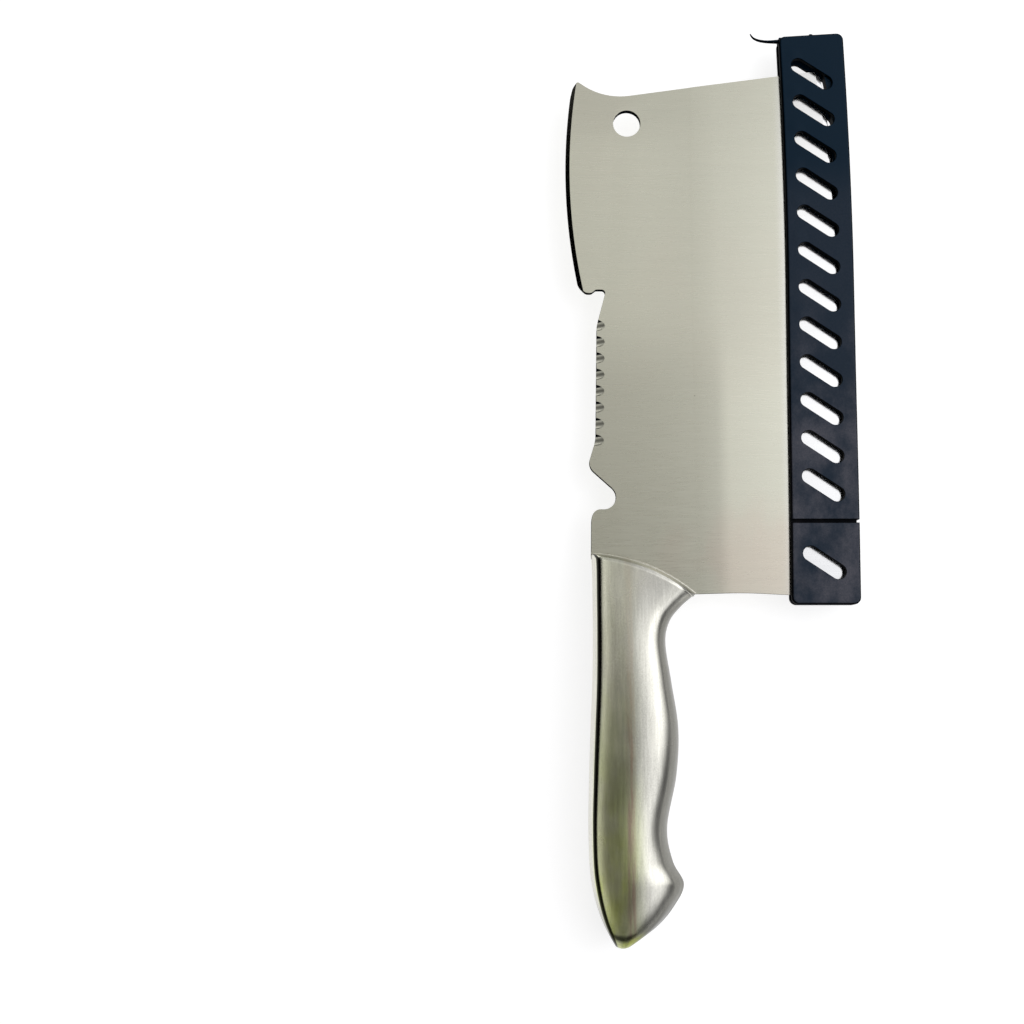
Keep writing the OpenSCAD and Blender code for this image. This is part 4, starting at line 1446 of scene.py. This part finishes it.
def steps_between(tree, value, table):
    """Passes smoothly from level to level through a table of (value, level)."""
    level = table[0][1]
    for (from_value, low), (to_value, high) in zip(table, table[1:]):
        level = plus(tree, ramp(tree, value, from_value, to_value, 0.0, high - low), level)
    return level


def tent_material():
    """The glow of the tent, by the way from its middle to each place on it."""
    made, tree, shader = new_material("light_tent")
    tree.nodes.remove(shader)
    way = vector_maths(tree, "NORMALIZE", {0: own(tree, "Object")})
    x, y, z = split(tree, way)[:3]
    leaning = minus(tree, x, times(tree, y, TENT_LEAN))
    aside = minus(tree, x, DARK_WAY[0])
    aside = highest(tree, aside, times(tree, aside, -0.55))
    apart = vector(tree, X=aside, Y=y, Z=z)
    behind = vector_maths(tree, "DISTANCE", {0: apart, 1: (0, *DARK_WAY[1:])}, "Value")
    shade = steps_between(tree, behind, TENT_BEHIND)
    level = times(
        tree, steps_between(tree, leaning, TENT_ACROSS), shade, steps_between(tree, y, TENT_ALONG)
    )
    tint = blend_colours(tree, shade, DARK_TINT, BRIGHT_TINT)
    tint = blend_colours(tree, ramp(tree, leaning, 0.09, 0.22), tint, RIGHT_TINT)
    level = highest(tree, level, ramp(tree, z, 0.14, 0.34, 0.55, 0.0))
    glow = add(tree, "ShaderNodeEmission", {"Color": tint, "Strength": level})
    tree.links.new(glow.outputs[0], tree.nodes["Material Output"].inputs["Surface"])
    made.cycles.emission_sampling = "NONE"
    return made


def build_tent():
    """A round light tent that the camera looks through, bright on the right and dark on the left."""
    tent = in_scene("light_tent", bpy.data.meshes.new("light_tent"))
    with edited(tent) as bm:
        bmesh.ops.create_icosphere(bm, subdivisions=3, radius=TENT_R)
        bmesh.ops.reverse_faces(bm, faces=bm.faces)
    tent.data.shade_smooth()
    tent.data.materials.append(tent_material())
    tent.visible_camera = tent.visible_transmission = tent.visible_shadow = False


def build_world():
    """A plain white room outside the tent."""
    world = bpy.data.worlds.new("white_room")
    bpy.context.scene.world = world
    world.use_nodes = True
    feed(world.node_tree, world.node_tree.nodes["Background"],
         {"Color": (1, 1, 1, 1), "Strength": 1.0})


def build_window():
    data = bpy.data.lights.new("window", "AREA")
    data.shape = "RECTANGLE"
    data.size, data.size_y = WINDOW_SIZE
    data.energy = WINDOW_WATTS
    light = in_scene("window", data)
    light.location = WINDOW_PLACE
    aim(light, (0, 0, 0))


# Operators


class CHOPPER_OT_stage(bpy.types.Operator):
    """Builds the camera, the white room, the light tent, the floor and the window's light"""

    bl_idname = "chopper.stage"
    bl_label = "Stage"

    def execute(self, context):
        build_camera()
        build_world()
        build_tent()
        build_floor()
        build_window()
        return {"FINISHED"}


class CHOPPER_OT_blade(bpy.types.Operator):
    """Builds the blade with its notches, scallops, hang hole and ground bevels"""

    bl_idname = "chopper.blade"
    bl_label = "Blade"

    def execute(self, context):
        finish_piece(brush_map(build_blade()), brushed_steel(), "knife", ["blade"])
        return {"FINISHED"}


class CHOPPER_OT_handle(bpy.types.Operator):
    """Builds the two pressed shells of the hollow handle"""

    bl_idname = "chopper.handle"
    bl_label = "Handle shells"

    def execute(self, context):
        steel = satin_steel("satin_steel", context.scene.chopper_finish.handle, 2600, 0.25, 0.06)
        for name, side in (("front", 1), ("back", -1)):
            finish_piece(build_shell(f"handle_{name}", side), steel, "knife",
                         [f"handle_{name}_shell"])
        return {"FINISHED"}


class CHOPPER_OT_welds(bpy.types.Operator):
    """Builds the joint beads and the ground seams of the handle"""

    bl_idname = "chopper.welds"
    bl_label = "Welds"

    def execute(self, context):
        steel = satin_steel("weld_steel", context.scene.chopper_finish.weld, 3200, 0.3, 1.0)
        for name, side in (("front", 1), ("back", -1)):
            finish_piece(build_bead(f"{name}_bead", side), steel, "knife",
                         [f"{name}_joint_weld"])
        for name, u_out, u_side in (("spine", 0, 1), ("belly", 1, -1)):
            finish_piece(build_seam(f"{name}_seam", u_out, u_side), steel, "knife",
                         [f"{name}_seam_weld"])
        return {"FINISHED"}


class CHOPPER_OT_guard(bpy.types.Operator):
    """Builds the slotted edge guard and its snap-off end"""

    bl_idname = "chopper.guard"
    bl_label = "Edge guard"

    def execute(self, context):
        plastic = moulded_plastic()
        finish_piece(build_guard_main(), plastic, "guard", ["guard_main_section"])
        finish_piece(build_guard_end(), plastic, "guard", ["guard_snap_off_end"])
        return {"FINISHED"}


class CHOPPER_PT_panel(bpy.types.Panel):
    bl_idname = "CHOPPER_PT_panel"
    bl_label = "Kitchen chopper"
    bl_space_type = "VIEW_3D"
    bl_region_type = "UI"
    bl_category = "Chopper"

    def draw(self, context):
        for made in OPERATORS:
            self.layout.operator(made.bl_idname)
        for group in (context.scene.chopper_blade, context.scene.chopper_handle,
                      context.scene.chopper_guard, context.scene.chopper_finish):
            box = self.layout.box()
            for name in group.bl_rna.properties.keys():
                if name not in ("rna_type", "name"):
                    box.prop(group, name)


GROUPS = {
    "chopper_blade": BladeSizes,
    "chopper_handle": HandleSizes,
    "chopper_guard": GuardSizes,
    "chopper_finish": FinishColours,
}
OPERATORS = (
    CHOPPER_OT_stage, CHOPPER_OT_blade, CHOPPER_OT_handle, CHOPPER_OT_welds, CHOPPER_OT_guard,
)


def register():
    for made in (*GROUPS.values(), *OPERATORS, CHOPPER_PT_panel):
        bpy.utils.register_class(made)
    for name, group in GROUPS.items():
        setattr(bpy.types.Scene, name, bpy.props.PointerProperty(type=group))


def unregister():
    for name in GROUPS:
        delattr(bpy.types.Scene, name)
    for made in (CHOPPER_PT_panel, *reversed(OPERATORS), *reversed(GROUPS.values())):
        bpy.utils.unregister_class(made)


def main():
    register()
    bpy.context.scene.view_settings.view_transform = "Standard"
    bpy.ops.chopper.stage()
    bpy.ops.chopper.blade()
    bpy.ops.chopper.handle()
    bpy.ops.chopper.welds()
    bpy.ops.chopper.guard()


if __name__ == "__main__":
    main()
